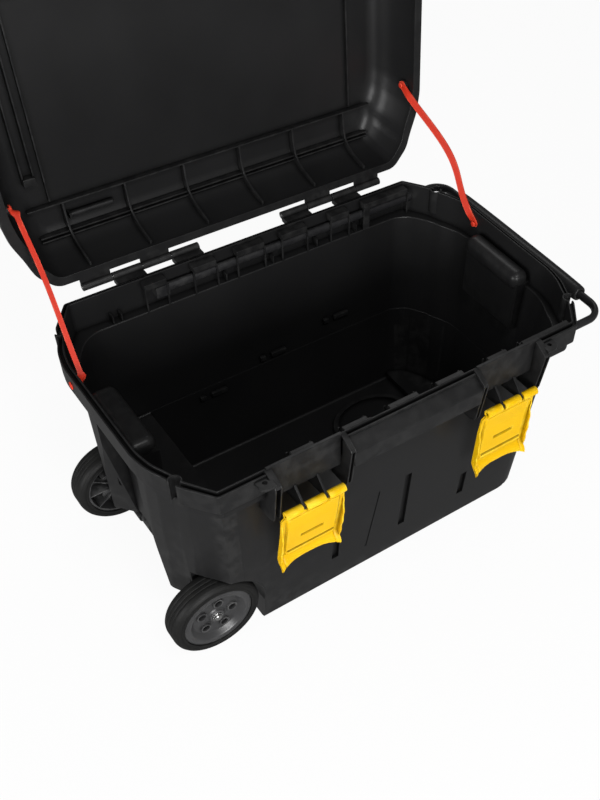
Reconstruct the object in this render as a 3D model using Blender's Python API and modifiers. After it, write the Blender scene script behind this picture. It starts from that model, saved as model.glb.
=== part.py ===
"""Rolling trunk: a moulded tub on two wheels, with a hinged lid, two flip latches and a pull handle.

Metres, +Z up. The origin is on the floor under the middle of the tub, +X points to the pull handle,
-X to the wheels and -Y to the latches. The lid stands open and the latches hang down.
"""
import bmesh
import bpy
from math import cos, pi, radians, sin, sqrt
from mathutils import Matrix, Vector

MM = 0.001
OVERRUN = 2 * MM                # how far a cutter runs past what it cuts
SEAT_GAP = 0.3 * MM             # gap between pieces that touch
WELD = 0.01 * MM

# Tub, outside
RIM_HEIGHT = 395.5 * MM
RIM_HALF_WIDTH = 222.5 * MM
RIM_HALF_LENGTH = 364 * MM
RIM_CORNER = 58 * MM            # length of the rim's end past its straight edge
RIM_STRAIGHT = RIM_HALF_LENGTH - RIM_CORNER     # half of the straight edge, up to the corner chamfer
SKIRT_DEPTH = 36 * MM
SKIRT_STEP = 6.5 * MM
LEDGE_WIDTH = 22.5 * MM         # from the rim in to the walls, along the sides
END_LEDGE_WIDTH = 14 * MM
SIDE_DRAFT = 25 * MM            # how far the walls lean in, down to the base
END_DRAFT = 20 * MM
WALL_TOP_HALF_WIDTH = RIM_HALF_WIDTH - LEDGE_WIDTH
WALL_TOP_HALF_LENGTH = RIM_HALF_LENGTH - END_LEDGE_WIDTH
BASE_HALF_WIDTH = WALL_TOP_HALF_WIDTH - SIDE_DRAFT
BASE_HALF_LENGTH = WALL_TOP_HALF_LENGTH - END_DRAFT
CHAMFER_X = 32 * MM
CHAMFER_Y = 42 * MM
END_BOW_SHARES = ((0.050, 0.13), (0.016, 0.28), (0.0, 0.446))   # (set back / length, along the end / width)

# Tub, rim and inside
WALL = 3 * MM
LIP = 2.6 * MM
LIP_GROOVE_WIDTH = 4.4 * MM
LIP_GROOVE_DEPTH = 7 * MM
OUTER_LIP_DROP = 2.5 * MM
LEDGE_DROP = 50.5 * MM          # ledge under the rim
LEDGE_HEIGHT = RIM_HEIGHT - LEDGE_DROP
WALL_TOP = LEDGE_HEIGHT - WALL
FLOOR_THICKNESS = 4 * MM
CAVITY_STEP = 0.8 * MM

# Wheels and axle
WHEEL_RADIUS = 73 * MM
WHEEL_SET_BACK = 52.5 * MM      # wheel's middle from the rim's end
WHEEL_SET_IN = 41.5 * MM        # wheel's face from the rim's side
WHEEL_X = WHEEL_SET_BACK - RIM_HALF_LENGTH
WHEEL_FACE_Y = RIM_HALF_WIDTH - WHEEL_SET_IN
WHEEL_WIDTH = 42 * MM
HUB_RADIUS = 57 * MM
HUB_WALL = 3.5 * MM
HUB_WEB = 5 * MM
HUB_DISH = 6 * MM
HUB_BOSS_RADIUS = 12 * MM
HUB_HOLE_RADIUS = 5 * MM
HUB_HOLE_PITCH = 27 * MM
HUB_HOLES = 5
TYRE_SHOULDER = 9 * MM
FLOOR_CLEARANCE = 0.1 * MM
AXLE_RADIUS = 7 * MM
AXLE_CLEARANCE = 0.3 * MM
AXLE_HEIGHT = WHEEL_RADIUS + FLOOR_CLEARANCE
CAP_RADIUS = 10.5 * MM
CAP_LENGTH = 5 * MM
CAP_SKIRT = 1.5 * MM
WASHER_RADIUS = 11 * MM
ARCH_CLEARANCE = 6 * MM
WHEEL_SIDE_CLEARANCE = 4 * MM
ARCH_ROOF = 5.9 * MM            # from the wheel arch up to the floor inside
ARCH_WALL = 8.5 * MM            # from the wheel arch along to the deep part of the tub
WHEEL_END_FLOOR = AXLE_HEIGHT + WHEEL_RADIUS + ARCH_CLEARANCE + ARCH_ROOF
LOWER_CAVITY_START = WHEEL_X + WHEEL_RADIUS + ARCH_CLEARANCE + ARCH_WALL

# Wheel end of the tub: two posts carry the axle, with a recess between them
POST_UNDER_AXLE = 23.1 * MM
PANEL_HALF_WIDTH = 62 * MM
PANEL_DEPTH = 46 * MM           # the panel's face from the rim's end
PANEL_OVER_AXLE = 21.9 * MM
POST_FOOT = AXLE_HEIGHT - POST_UNDER_AXLE
PANEL_X = PANEL_DEPTH - RIM_HALF_LENGTH
PANEL_FOOT = AXLE_HEIGHT + PANEL_OVER_AXLE
BAY_ROOF = WHEEL_END_FLOOR - FLOOR_THICKNESS
BAY_INNER_X = LOWER_CAVITY_START - 3 * WALL
AXLE_BOSS_RADIUS = 9.5 * MM
AXLE_BOSS_LIP = 4 * MM
AXLE_BOSS_WEB = 6 * MM

# Latch pockets in the front of the rim
LATCH_FROM_CORNER = 131.5 * MM
LATCH_X = RIM_STRAIGHT - LATCH_FROM_CORNER
POCKET_HALF_WIDTH = 56 * MM
POCKET_DEPTH = 5 * MM           # the pocket's back behind the rim's face
POCKET_HEIGHT = 65.5 * MM
POCKET_BACK_Y = POCKET_DEPTH - RIM_HALF_WIDTH
POCKET_BOTTOM = RIM_HEIGHT - POCKET_HEIGHT
CHEEK_REACH = 13.5 * MM         # out from the rim's face
CHEEK_DROP = 13.5 * MM          # under the rim
CHEEK_HEIGHT = 77 * MM
CHEEK_HEEL = 8 * MM
CHEEK_PLATE = 2.4 * MM
CHEEK_SLOT = 4.4 * MM
CHEEK_FRONT_Y = -RIM_HALF_WIDTH - CHEEK_REACH
CHEEK_HEEL_Y = CHEEK_FRONT_Y + CHEEK_HEEL
CHEEK_TOP = RIM_HEIGHT - CHEEK_DROP
CHEEK_BOTTOM = CHEEK_TOP - CHEEK_HEIGHT
BAND_REACH = 15.5 * MM
BAND_DROP = 11.5 * MM
BAND_HEIGHT = 32 * MM
BAND_FRONT_Y = -RIM_HALF_WIDTH - BAND_REACH
BAND_TOP = RIM_HEIGHT - BAND_DROP
BAND_BOTTOM = BAND_TOP - BAND_HEIGHT
FIN_THICKNESS = 4 * MM
FIN_OFFSET = 18 * MM
FIN_TIP_RADIUS = 4.5 * MM
FIN_CLEARANCE = 0.5 * MM
FIN_HEEL_DROP = 6 * MM
# (out from the latch's axis to the pocket's back / distance, up from the axis to the cheeks' top / distance)
FIN_EDGE_SHARES = ((0.16, 0.05), (0.27, 0.20), (0.82, 0.84), (1.13, 0.84))
PADLOCK_FROM_LATCH = 83.5 * MM
PADLOCK_TAB_X = LATCH_X + PADLOCK_FROM_LATCH
PADLOCK_TAB_RADIUS = 11 * MM
PADLOCK_TAB_THICKNESS = 5 * MM
PADLOCK_HOLE_RADIUS = 3.5 * MM
PADLOCK_TAB_DROP = 12 * MM

# Latches
LATCH_AXIS_REACH = 17.5 * MM    # out from the rim's face
LATCH_AXIS_DROP = 78 * MM       # under the rim
LATCH_AXIS_Y = -RIM_HALF_WIDTH - LATCH_AXIS_REACH
LATCH_AXIS_Z = RIM_HEIGHT - LATCH_AXIS_DROP
BARREL_RADIUS = 7 * MM
BARREL_HALF_LENGTH = 49 * MM
LATCH_PIN_RADIUS = 1.8 * MM
LATCH_PIN_CLEARANCE = 0.3 * MM
FLAP_HALF_WIDTH = 52 * MM
FLAP_THICKNESS = 2.6 * MM
FLAP_TOP = -18 * MM             # where the flap's full width starts, under the axis
FLAP_LENGTH = 88 * MM
FLAP_FLANGE_DEPTH = 12 * MM
FLAP_LIP_OUT = 20 * MM
FLAP_LIP_DROP = 12 * MM
FLAP_RIDGE_DROP = 80 * MM
FLAP_RIDGE_HEIGHT = 3 * MM
FLAP_RIDGE_THICKNESS = 4 * MM
FLAP_BAR_DROP = 55 * MM
FLAP_BAR_HALF_LENGTH = 20 * MM

# Front wall reliefs
PANEL_GROOVE_DEPTH = 1.6 * MM
PANEL_GROOVE_WIDTH = 9 * MM
# x of each groove, its top and its bottom
FRONT_GROOVES = (
    (-103 * MM, 178 * MM, 70 * MM),
    (28 * MM, 198 * MM, 66 * MM),
    (152 * MM, 118 * MM, 64 * MM),
)
FOOT_STEP_LENGTH = 68 * MM
FOOT_STEP_X = BASE_HALF_LENGTH - FOOT_STEP_LENGTH
FOOT_STEP_HEIGHT = 12 * MM

# Hinge
HINGE_REACH = 17.5 * MM         # out from the rim's face
HINGE_Y = RIM_HALF_WIDTH + HINGE_REACH
HINGE_Z = RIM_HEIGHT
HINGE_FROM_CORNER = 37 * MM
KNUCKLE_RADIUS = 6 * MM
KNUCKLE_LENGTH = 48.5 * MM
KNUCKLES = 4
KNUCKLE_START = RIM_STRAIGHT - HINGE_FROM_CORNER - KNUCKLES * KNUCKLE_LENGTH
KNUCKLE_GAP = 0.5 * MM
HINGE_PIN_RADIUS = 2 * MM
HINGE_PIN_CLEARANCE = 0.3 * MM
HINGE_ARM = 5 * MM

# Lid, in its closed place, heights over the rim
LID_OPEN_ANGLE = radians(94)
LID_SEAT_GAP = 1 * MM
LID_OVERHANG = 5.5 * MM         # past the rim's sides
LID_END_SET_IN = 10 * MM
LID_CORNER_SET_IN = 4 * MM
LID_HALF_WIDTH = RIM_HALF_WIDTH + LID_OVERHANG
LID_HALF_LENGTH = RIM_HALF_LENGTH - LID_END_SET_IN
LID_STRAIGHT = RIM_STRAIGHT - LID_CORNER_SET_IN
LID_CHAMFER_X = 26 * MM
LID_CHAMFER_Y = 28 * MM
LID_HEIGHT = 80.5 * MM
LID_FLANGE = 11 * MM
LID_WALL = 3.4 * MM
# (height / lid height, set in from the flange's edge / half width) of the dome over the flange
LID_DOME_SHARES = ((0.16, 0.044), (0.72, 0.092), (0.91, 0.140), (1.0, 0.225))
LID_RIB = 2.4 * MM
LID_RIB_DEPTH = 12 * MM
LID_INNER_RIB_SET_IN = 86 * MM  # from the lid's side
LID_ROOF_EDGE_SET_IN = 58 * MM
LID_OUTER_RIB_SET_IN = 39 * MM
LID_OUTER_RIB_DROP = 8.5 * MM   # under the lid's top
LID_RIB_END_CLEARANCE = 11 * MM
LID_INNER_RIB_Y = LID_HALF_WIDTH - LID_INNER_RIB_SET_IN
LID_ROOF_EDGE_Y = LID_HALF_WIDTH - LID_ROOF_EDGE_SET_IN
LID_OUTER_RIB_Y = LID_HALF_WIDTH - LID_OUTER_RIB_SET_IN
LID_OUTER_RIB_TOP = LID_HEIGHT - LID_OUTER_RIB_DROP
LID_OUTER_RIB_REACH = LID_STRAIGHT - LID_RIB_END_CLEARANCE
LID_CROSS_RIBS = 6
LID_CROSS_RIB_FROM_CORNER = 57 * MM
LID_CROSS_RIB_PITCH = 2 * (LID_STRAIGHT - LID_CROSS_RIB_FROM_CORNER) / (LID_CROSS_RIBS - 1)
CATCH_HALF_WIDTH = 46 * MM
CATCH_RECESS_HALF_WIDTH = 54 * MM
CATCH_RECESS_DEPTH = 20 * MM    # in from the lid's side
CATCH_RECESS_Y = CATCH_RECESS_DEPTH - LID_HALF_WIDTH
CATCH_RECESS_TOP = 45 * MM
LID_CATCH_WALL = 4 * MM

# Pull handle
ROD_RADIUS = 5.5 * MM
ROD_OVAL = 1.3                  # the rod's height over its width
ROD_SET_IN = 17.3 * MM          # the rod's middle from the rim's side
ROD_DROP = 24.5 * MM            # under the rim
ROD_Y = RIM_HALF_WIDTH - ROD_SET_IN
ROD_Z = RIM_HEIGHT - ROD_DROP
ROD_BEND = 30 * MM
GRIP_RADIUS = 13.5 * MM
GRIP_STAND_OFF = 17 * MM        # the grip's middle past the rim's end
GRIP_END_CLEARANCE = 23.2 * MM  # from the rod's bend
GRIP_X = RIM_HALF_LENGTH + GRIP_STAND_OFF
GRIP_HALF_LENGTH = ROD_Y - ROD_BEND - GRIP_END_CLEARANCE
GRIP_STEP = 2 * MM
HANDLE_TRAVEL = 360 * MM
ROD_HOLE_CLEARANCE = 0.8 * MM
STOP_LENGTH = 22 * MM
STOP_HALF_HEIGHT = 9.5 * MM
STOP_HALF_WIDTH = 7 * MM
HOOK_DROP = 3 * MM              # hooks' top under the rim
HOOK_REACH = 17 * MM
HOOK_CLEARANCE = 1.5 * MM
HOOK_END_CLEARANCE = 6 * MM
# start and end along the tub of the moulded hooks over the handle's rods
HOOK_SPANS = (
    (-190 * MM, -154 * MM),
    (-108 * MM, -68 * MM),
    (-32 * MM, 18 * MM),
    (50 * MM, 98 * MM),
    (144 * MM, 180 * MM),
    (210 * MM, RIM_STRAIGHT - HOOK_END_CLEARANCE),
)
STOP_WALL_X = HOOK_SPANS[-1][0]
STOP_WALL_LENGTH = 12 * MM
ROD_INNER_X = STOP_WALL_X - STOP_LENGTH - HANDLE_TRAVEL - SEAT_GAP

# Hand recesses in the end walls
HAND_HALF_WIDTH = PANEL_HALF_WIDTH
HAND_OVER_LEDGE = 4 * MM
HAND_HEIGHT = 87 * MM
HAND_DEPTH = 34 * MM            # from the rim's end
HAND_TOP = LEDGE_HEIGHT + HAND_OVER_LEDGE
HAND_BOTTOM = HAND_TOP - HAND_HEIGHT
HAND_X = RIM_HALF_LENGTH - HAND_DEPTH

# Straps and rivets
STRAP_WIDTH = 12 * MM
STRAP_THICKNESS = 2.4 * MM
STRAP_WALL_GAP = 1 * MM
STRAP_NECK = 0.8                # the band's width over its eyes'
STRAP_TUB_Y = 80 * MM
STRAP_TUB_DROP = 21 * MM        # under the rim
STRAP_LID_RADIUS = 139 * MM     # from the hinge, along the lid
STRAP_LID_RISE = 22 * MM        # over the lid's rim plane when closed
RIVET_RADIUS = 2.6 * MM
RIVET_CLEARANCE = 0.4 * MM
RIVET_HEAD_RADIUS = 6 * MM
RIVET_HEAD = 2 * MM
RIVET_TAIL_RADIUS = 4.6 * MM
RIVET_TAIL = 1.6 * MM
RIVET_PAD = 4 * MM              # flat pads stand this far off the bowed walls
RIVET_PAD_RADIUS = 7.5 * MM

ROUND_STEPS = 40
SMALL_STEPS = 16


def fresh_scene():
    for old in list(bpy.data.objects):
        bpy.data.objects.remove(old)


def collection(name):
    group = bpy.data.collections.new(name)
    bpy.context.scene.collection.children.link(group)
    return group


def material(name, colour, roughness, metallic=0.0):
    mat = bpy.data.materials.new(name)
    mat.use_nodes = True
    shader = mat.node_tree.nodes["Principled BSDF"]
    shader.inputs["Base Color"].default_value = (*colour, 1)
    shader.inputs["Roughness"].default_value = roughness
    shader.inputs["Metallic"].default_value = metallic
    return mat


fresh_scene()
PARTS = collection("rolling_trunk")
CUTTERS = collection("cutters")
BLACK = material("black_plastic", (0.022, 0.022, 0.023), 0.45)
YELLOW = material("yellow_plastic", (0.9, 0.56, 0.01), 0.4)
RED = material("red_plastic", (0.78, 0.07, 0.03), 0.4)
GREY = material("grey_plastic", (0.12, 0.12, 0.12), 0.45)
TYRE = material("tyre", (0.02, 0.02, 0.02), 0.7)
STEEL = material("steel", (0.6, 0.6, 0.6), 0.3, 1.0)


def new_object(name, mesh, group=PARTS, mat=None):
    obj = bpy.data.objects.new(name, mesh)
    group.objects.link(obj)
    if mat:
        mesh.materials.append(mat)
    return obj


def mesh_from(bm, name):
    mesh = bpy.data.meshes.new(name)
    bmesh.ops.recalc_face_normals(bm, faces=bm.faces)
    bm.to_mesh(mesh)
    bm.free()
    return mesh


def add_box(bm, low, high):
    """A box between two corners."""
    size = [b - a for a, b in zip(low, high)]
    centre = [(a + b) / 2 for a, b in zip(low, high)]
    made = bmesh.ops.create_cube(bm, size=1, matrix=Matrix.LocRotScale(centre, None, size))
    return made["verts"]


def add_rod(bm, centre, axis, radius, length, steps=SMALL_STEPS, turn=0.0):
    """A cylinder about an axis, "X", "Y" or "Z"."""
    spin = {"X": Matrix.Rotation(pi / 2, 4, "Y"), "Y": Matrix.Rotation(pi / 2, 4, "X"), "Z": Matrix()}[axis]
    matrix = Matrix.Translation(centre) @ Matrix.Rotation(turn, 4, axis) @ spin
    made = bmesh.ops.create_cone(bm, cap_ends=True, segments=steps, radius1=radius, radius2=radius,
                                 depth=length, matrix=matrix)
    return made["verts"]


def add_plate(bm, low_x, high_x, points):
    """A plate between two x values, with its outline given as (y, z) points."""
    face = bm.faces.new([bm.verts.new((low_x, y, z)) for y, z in points])
    made = bmesh.ops.extrude_face_region(bm, geom=[face])
    moved = [item for item in made["geom"] if isinstance(item, bmesh.types.BMVert)]
    bmesh.ops.translate(bm, verts=moved, vec=(high_x - low_x, 0, 0))


def boolean(target, tool, operation):
    """Cut a tool from the target, or join it, with the tool kept as a hidden guide."""
    mod = target.modifiers.new(tool.name, "BOOLEAN")
    mod.operation = operation
    mod.solver = "EXACT"
    mod.object = tool
    tool.hide_render = True
    tool.display_type = "WIRE"


def tool(name, build, offset=(0, 0, 0)):
    """A cutter or an addition, made by a function that fills a bmesh."""
    bm = bmesh.new()
    build(bm)
    obj = new_object(name, mesh_from(bm, name), CUTTERS)
    obj.location = offset
    return obj


def outline(half_length, half_width, straight, chamfer_x, chamfer_y):
    """Plan outline with chamfered corners and bowed ends, anticlockwise from the rear right corner."""
    ends = [(half_length - back * half_length, (half_width - chamfer_y) * (1 - along))
            for back, along in END_BOW_SHARES]
    corner = [(straight, half_width), (straight + chamfer_x, half_width - chamfer_y)] + ends
    rear_right = corner[::-1]
    quarter = [(x, y) for x, y in rear_right]
    rear_left = [(-x, y) for x, y in corner]
    front_left = [(-x, -y) for x, y in rear_right]
    front_right = [(x, -y) for x, y in corner]
    return quarter + rear_left + front_left + front_right


def loft(bm, levels):
    """A closed skin through outlines of equal point counts, each at its own height."""
    rings = [[bm.verts.new((x, y, z)) for x, y in points] for points, z in levels]
    count = len(rings[0])
    for low, high in zip(rings, rings[1:]):
        for i in range(count):
            j = (i + 1) % count
            bm.faces.new((low[i], low[j], high[j], high[i]))
    bm.faces.new(rings[0][::-1])
    bm.faces.new(rings[-1])


def rim_outline(inset):
    slope = inset * (sqrt(2) - 1)
    return outline(RIM_HALF_LENGTH - inset, RIM_HALF_WIDTH - inset, RIM_STRAIGHT - slope,
                   CHAMFER_X - inset + slope, CHAMFER_Y - slope)


def wall_y(height):
    """Half width of the tapering walls, at a height over the floor."""
    return BASE_HALF_WIDTH + (WALL_TOP_HALF_WIDTH - BASE_HALF_WIDTH) * height / WALL_TOP


def wall_x(height):
    return BASE_HALF_LENGTH + (WALL_TOP_HALF_LENGTH - BASE_HALF_LENGTH) * height / WALL_TOP


def end_x(points, y):
    """How far the right end of an outline reaches at y."""
    corners = sorted((b, a) for a, b in points if a > 0)
    for (low, x), (high, next_x) in zip(corners, corners[1:]):
        if low <= y <= high:
            return x + (next_x - x) * (y - low) / (high - low)


def wall_outline(height, inset):
    """Outline of the tapering walls, at a height over the floor."""
    half_width = wall_y(height) - inset
    half_length = wall_x(height) - inset
    straight = RIM_STRAIGHT - (RIM_HALF_WIDTH - half_width) / 2 - inset / 2
    chamfer_x = (half_length - straight) * CHAMFER_X / (RIM_HALF_LENGTH - RIM_STRAIGHT)
    return outline(half_length, half_width, straight, chamfer_x, CHAMFER_Y)


def lid_outline(inset):
    slope = inset * (sqrt(2) - 1)
    return outline(LID_HALF_LENGTH - inset, LID_HALF_WIDTH - inset, LID_STRAIGHT - slope,
                   LID_CHAMFER_X - inset / 3, LID_CHAMFER_Y)


# Tub


def tub_shell():
    bm = bmesh.new()
    skirt_bottom = RIM_HEIGHT - SKIRT_DEPTH
    inner_lip = LIP + LIP_GROOVE_WIDTH
    ledge_edge = wall_outline(LEDGE_HEIGHT, WALL)
    loft(bm, [
        (wall_outline(0, 0), 0),
        (wall_outline(WALL_TOP, 0), WALL_TOP),
        (rim_outline(SKIRT_STEP), WALL_TOP),
        (rim_outline(SKIRT_STEP), skirt_bottom),
        (rim_outline(0), skirt_bottom),
        (rim_outline(0), RIM_HEIGHT - OUTER_LIP_DROP),
        (rim_outline(LIP), RIM_HEIGHT - OUTER_LIP_DROP),
        (rim_outline(LIP), RIM_HEIGHT - LIP_GROOVE_DEPTH),
        (rim_outline(inner_lip), RIM_HEIGHT - LIP_GROOVE_DEPTH),
        (rim_outline(inner_lip), RIM_HEIGHT),
        (rim_outline(inner_lip + LIP), RIM_HEIGHT),
        (rim_outline(inner_lip + LIP), LEDGE_HEIGHT),
        (ledge_edge, LEDGE_HEIGHT),
        (wall_outline(WHEEL_END_FLOOR, WALL), WHEEL_END_FLOOR),
    ])
    return new_object("tub", mesh_from(bm, "tub"), mat=BLACK)


def deep_cavity(bm):
    """The deep part of the inside, a little narrower than the part above it."""
    levels = []
    for height in (FLOOR_THICKNESS, WHEEL_END_FLOOR + OVERRUN):
        points = wall_outline(height, WALL + CAVITY_STEP)
        levels.append(([(max(x, LOWER_CAVITY_START), y) for x, y in points], height))
    loft(bm, levels)


def wheel_wells(bm):
    radius = WHEEL_RADIUS + ARCH_CLEARANCE
    inner = WHEEL_FACE_Y - WHEEL_WIDTH - WHEEL_SIDE_CLEARANCE
    outer = RIM_HALF_WIDTH
    for side in (-1, 1):
        centre = (WHEEL_X, side * (inner + outer) / 2, AXLE_HEIGHT)
        add_rod(bm, centre, "Y", radius, outer - inner, ROUND_STEPS)


def wheel_well_openings(bm):
    radius = WHEEL_RADIUS + ARCH_CLEARANCE
    inner = WHEEL_FACE_Y - WHEEL_WIDTH - WHEEL_SIDE_CLEARANCE
    for side in (-1, 1):
        ends = sorted((side * inner, side * RIM_HALF_WIDTH))
        add_box(bm, (-RIM_HALF_LENGTH, ends[0], -OVERRUN), (WHEEL_X + radius * cos(radians(12)), ends[1],
                                                            AXLE_HEIGHT + radius * sin(radians(12))))


def axle_bay(bm):
    half = WHEEL_FACE_Y - WHEEL_WIDTH - WHEEL_SIDE_CLEARANCE - WALL
    add_box(bm, (PANEL_X + WALL, -half, -OVERRUN), (BAY_INNER_X, half, BAY_ROOF))


def post_hollows(bm):
    half = WHEEL_FACE_Y - WHEEL_WIDTH - WHEEL_SIDE_CLEARANCE - WALL
    for side in (-1, 1):
        ends = sorted((side * (PANEL_HALF_WIDTH + WALL), side * half))
        add_box(bm, (-BASE_HALF_LENGTH + WALL, ends[0], -OVERRUN),
                (PANEL_X + 2 * WALL, ends[1], BAY_ROOF - WALL))


def post_feet(bm):
    add_box(bm, (-RIM_HALF_LENGTH, -RIM_HALF_WIDTH, -OVERRUN), (BAY_INNER_X, RIM_HALF_WIDTH, POST_FOOT))


def panel_opening(bm):
    """The gap under the recessed panel, between the two posts."""
    add_box(bm, (-RIM_HALF_LENGTH, -PANEL_HALF_WIDTH, -OVERRUN),
            (PANEL_X + 2 * WALL, PANEL_HALF_WIDTH, PANEL_FOOT))


def axle_bosses(bm):
    outer = WHEEL_FACE_Y - WHEEL_WIDTH - WHEEL_SIDE_CLEARANCE - WALL / 2
    inner = PANEL_HALF_WIDTH - AXLE_BOSS_LIP
    for side in (-1, 1):
        add_rod(bm, (WHEEL_X, side * (inner + outer) / 2, AXLE_HEIGHT), "Y", AXLE_BOSS_RADIUS, outer - inner)


def axle_boss_webs(bm):
    half = WHEEL_FACE_Y - WHEEL_WIDTH - WHEEL_SIDE_CLEARANCE - WALL / 2
    for side in (-1, 1):
        ends = sorted((side * (PANEL_HALF_WIDTH + OVERRUN), side * half))
        add_box(bm, (WHEEL_X - AXLE_BOSS_WEB / 2, ends[0], AXLE_HEIGHT),
                (WHEEL_X + AXLE_BOSS_WEB / 2, ends[1], BAY_ROOF + OVERRUN))


def axle_hole(bm):
    add_rod(bm, (WHEEL_X, 0, AXLE_HEIGHT), "Y", AXLE_RADIUS + AXLE_CLEARANCE, 2 * WHEEL_FACE_Y)


def skin_y(height):
    """How far out the middle of the tub's front and rear walls lies."""
    if height > WALL_TOP:
        return RIM_HALF_WIDTH - SKIRT_STEP - WALL / 2
    return wall_y(height) - WALL / 2


def front_band(bm):
    end = LATCH_X - POCKET_HALF_WIDTH - CHEEK_SLOT - CHEEK_PLATE / 2
    add_box(bm, (-end, BAND_FRONT_Y, BAND_BOTTOM), (end, -skin_y(BAND_TOP), BAND_TOP))


def latch_pocket(bm):
    """The gap in the rim's skirt in front of each latch."""
    for side in (-1, 1):
        add_box(bm, (side * LATCH_X - POCKET_HALF_WIDTH, -RIM_HALF_WIDTH - OVERRUN, POCKET_BOTTOM),
                (side * LATCH_X + POCKET_HALF_WIDTH, POCKET_BACK_Y, RIM_HEIGHT + OVERRUN))


def pocket_backs(bm):
    """Plates that close the wall behind each pocket, flush with the inner lip."""
    for side in (-1, 1):
        add_box(bm, (side * LATCH_X - POCKET_HALF_WIDTH - CHEEK_PLATE, POCKET_BACK_Y - OVERRUN,
                     RIM_HEIGHT - SKIRT_DEPTH - LIP),
                (side * LATCH_X + POCKET_HALF_WIDTH + CHEEK_PLATE, POCKET_BACK_Y + LIP, RIM_HEIGHT))


def cheeks(bm):
    """Pairs of upright plates at both sides of each latch, sloping back at the foot."""
    step = WALL_TOP + WALL / 2
    points = [(CHEEK_FRONT_Y, CHEEK_TOP), (-skin_y(CHEEK_TOP), CHEEK_TOP), (-skin_y(CHEEK_TOP), step),
              (-skin_y(WALL_TOP), step), (-skin_y(CHEEK_BOTTOM), CHEEK_BOTTOM), (CHEEK_HEEL_Y, CHEEK_BOTTOM),
              (CHEEK_FRONT_Y, LATCH_AXIS_Z)]
    for latch_side in (-1, 1):
        for side in (-1, 1):
            for offset in (0, CHEEK_SLOT):
                inner = latch_side * LATCH_X + side * (POCKET_HALF_WIDTH + offset)
                outer = inner + side * CHEEK_PLATE
                add_plate(bm, min(inner, outer), max(inner, outer), points)


def fin_places():
    return [latch_side * LATCH_X + side * FIN_OFFSET for latch_side in (-1, 1) for side in (-1, 1)]


def fin_roots(bm):
    """Two fins in each pocket, each tall at the wall and low at the latch's pin."""
    step = WALL_TOP + WALL / 2
    run = POCKET_BACK_Y - LATCH_AXIS_Y
    rise = CHEEK_TOP - LATCH_AXIS_Z
    edge = [(LATCH_AXIS_Y + out * run, LATCH_AXIS_Z + up * rise) for out, up in FIN_EDGE_SHARES]
    low = LATCH_AXIS_Z - FIN_HEEL_DROP
    points = [(LATCH_AXIS_Y, edge[0][1])] + edge + [
        (edge[-1][0], step), (-skin_y(WALL_TOP), step), (-skin_y(low), low),
        (LATCH_AXIS_Y, LATCH_AXIS_Z - FIN_TIP_RADIUS / 2)]
    for x in fin_places():
        add_plate(bm, x - FIN_THICKNESS / 2, x + FIN_THICKNESS / 2, points)


def fin_tips(bm):
    for x in fin_places():
        add_rod(bm, (x, LATCH_AXIS_Y, LATCH_AXIS_Z), "X", FIN_TIP_RADIUS, FIN_THICKNESS)


def latch_pin_holes(bm):
    for side in (-1, 1):
        centre = (side * LATCH_X, LATCH_AXIS_Y, LATCH_AXIS_Z)
        add_rod(bm, centre, "X", LATCH_PIN_RADIUS + LATCH_PIN_CLEARANCE, 2 * FIN_OFFSET + 2 * FIN_THICKNESS)


def padlock_tabs(bm):
    top = RIM_HEIGHT - PADLOCK_TAB_DROP
    for side in (-1, 1):
        x = side * PADLOCK_TAB_X
        y = -RIM_HALF_WIDTH - PADLOCK_TAB_RADIUS / 2
        add_rod(bm, (x, y, top - PADLOCK_TAB_THICKNESS / 2), "Z", PADLOCK_TAB_RADIUS, PADLOCK_TAB_THICKNESS)


def padlock_holes(bm):
    for side in (-1, 1):
        y = -RIM_HALF_WIDTH - PADLOCK_TAB_RADIUS / 2
        add_rod(bm, (side * PADLOCK_TAB_X, y, RIM_HEIGHT - PADLOCK_TAB_DROP), "Z", PADLOCK_HOLE_RADIUS,
                4 * PADLOCK_TAB_THICKNESS, SMALL_STEPS, pi / SMALL_STEPS)


def front_grooves(bm):
    for x, top, bottom in FRONT_GROOVES:
        low = x - PANEL_GROOVE_WIDTH / 2
        points = [(-WALL_TOP_HALF_WIDTH, top), (PANEL_GROOVE_DEPTH - wall_y(top), top),
                  (PANEL_GROOVE_DEPTH - wall_y(bottom), bottom), (-WALL_TOP_HALF_WIDTH, bottom)]
        add_plate(bm, low, low + PANEL_GROOVE_WIDTH, points)


def foot_step(bm):
    add_box(bm, (FOOT_STEP_X, -RIM_HALF_WIDTH, -OVERRUN),
            (RIM_HALF_LENGTH, RIM_HALF_WIDTH, FOOT_STEP_HEIGHT))


def foot_step_floor(bm):
    """Thickens the floor over the raised step, so that it keeps its thickness."""
    low = wall_outline(FLOOR_THICKNESS, WALL / 2)
    points = [(max(x, FOOT_STEP_X - FLOOR_THICKNESS), y) for x, y in low]
    loft(bm, [(points, FLOOR_THICKNESS / 2), (points, FOOT_STEP_HEIGHT + FLOOR_THICKNESS)])


def knuckle_spans(lid):
    """The hinge knuckles' spans in x, for the lid or the tub, mirrored about the middle."""
    spans = []
    for number in range(KNUCKLES):
        if (number % 2 == 1) == lid:
            start = KNUCKLE_START + number * KNUCKLE_LENGTH
            spans.append((start + KNUCKLE_GAP, start + KNUCKLE_LENGTH - KNUCKLE_GAP))
    return spans + [(-b, -a) for a, b in spans]


def tub_hinge_arms(bm):
    for start, end in knuckle_spans(False):
        add_box(bm, (start, RIM_HALF_WIDTH - LIP / 2, HINGE_Z - 2 * HINGE_ARM),
                (end, HINGE_Y, HINGE_Z - LID_SEAT_GAP))


def tub_knuckles(bm):
    for start, end in knuckle_spans(False):
        add_rod(bm, ((start + end) / 2, HINGE_Y, HINGE_Z), "X", KNUCKLE_RADIUS, end - start)


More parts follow.
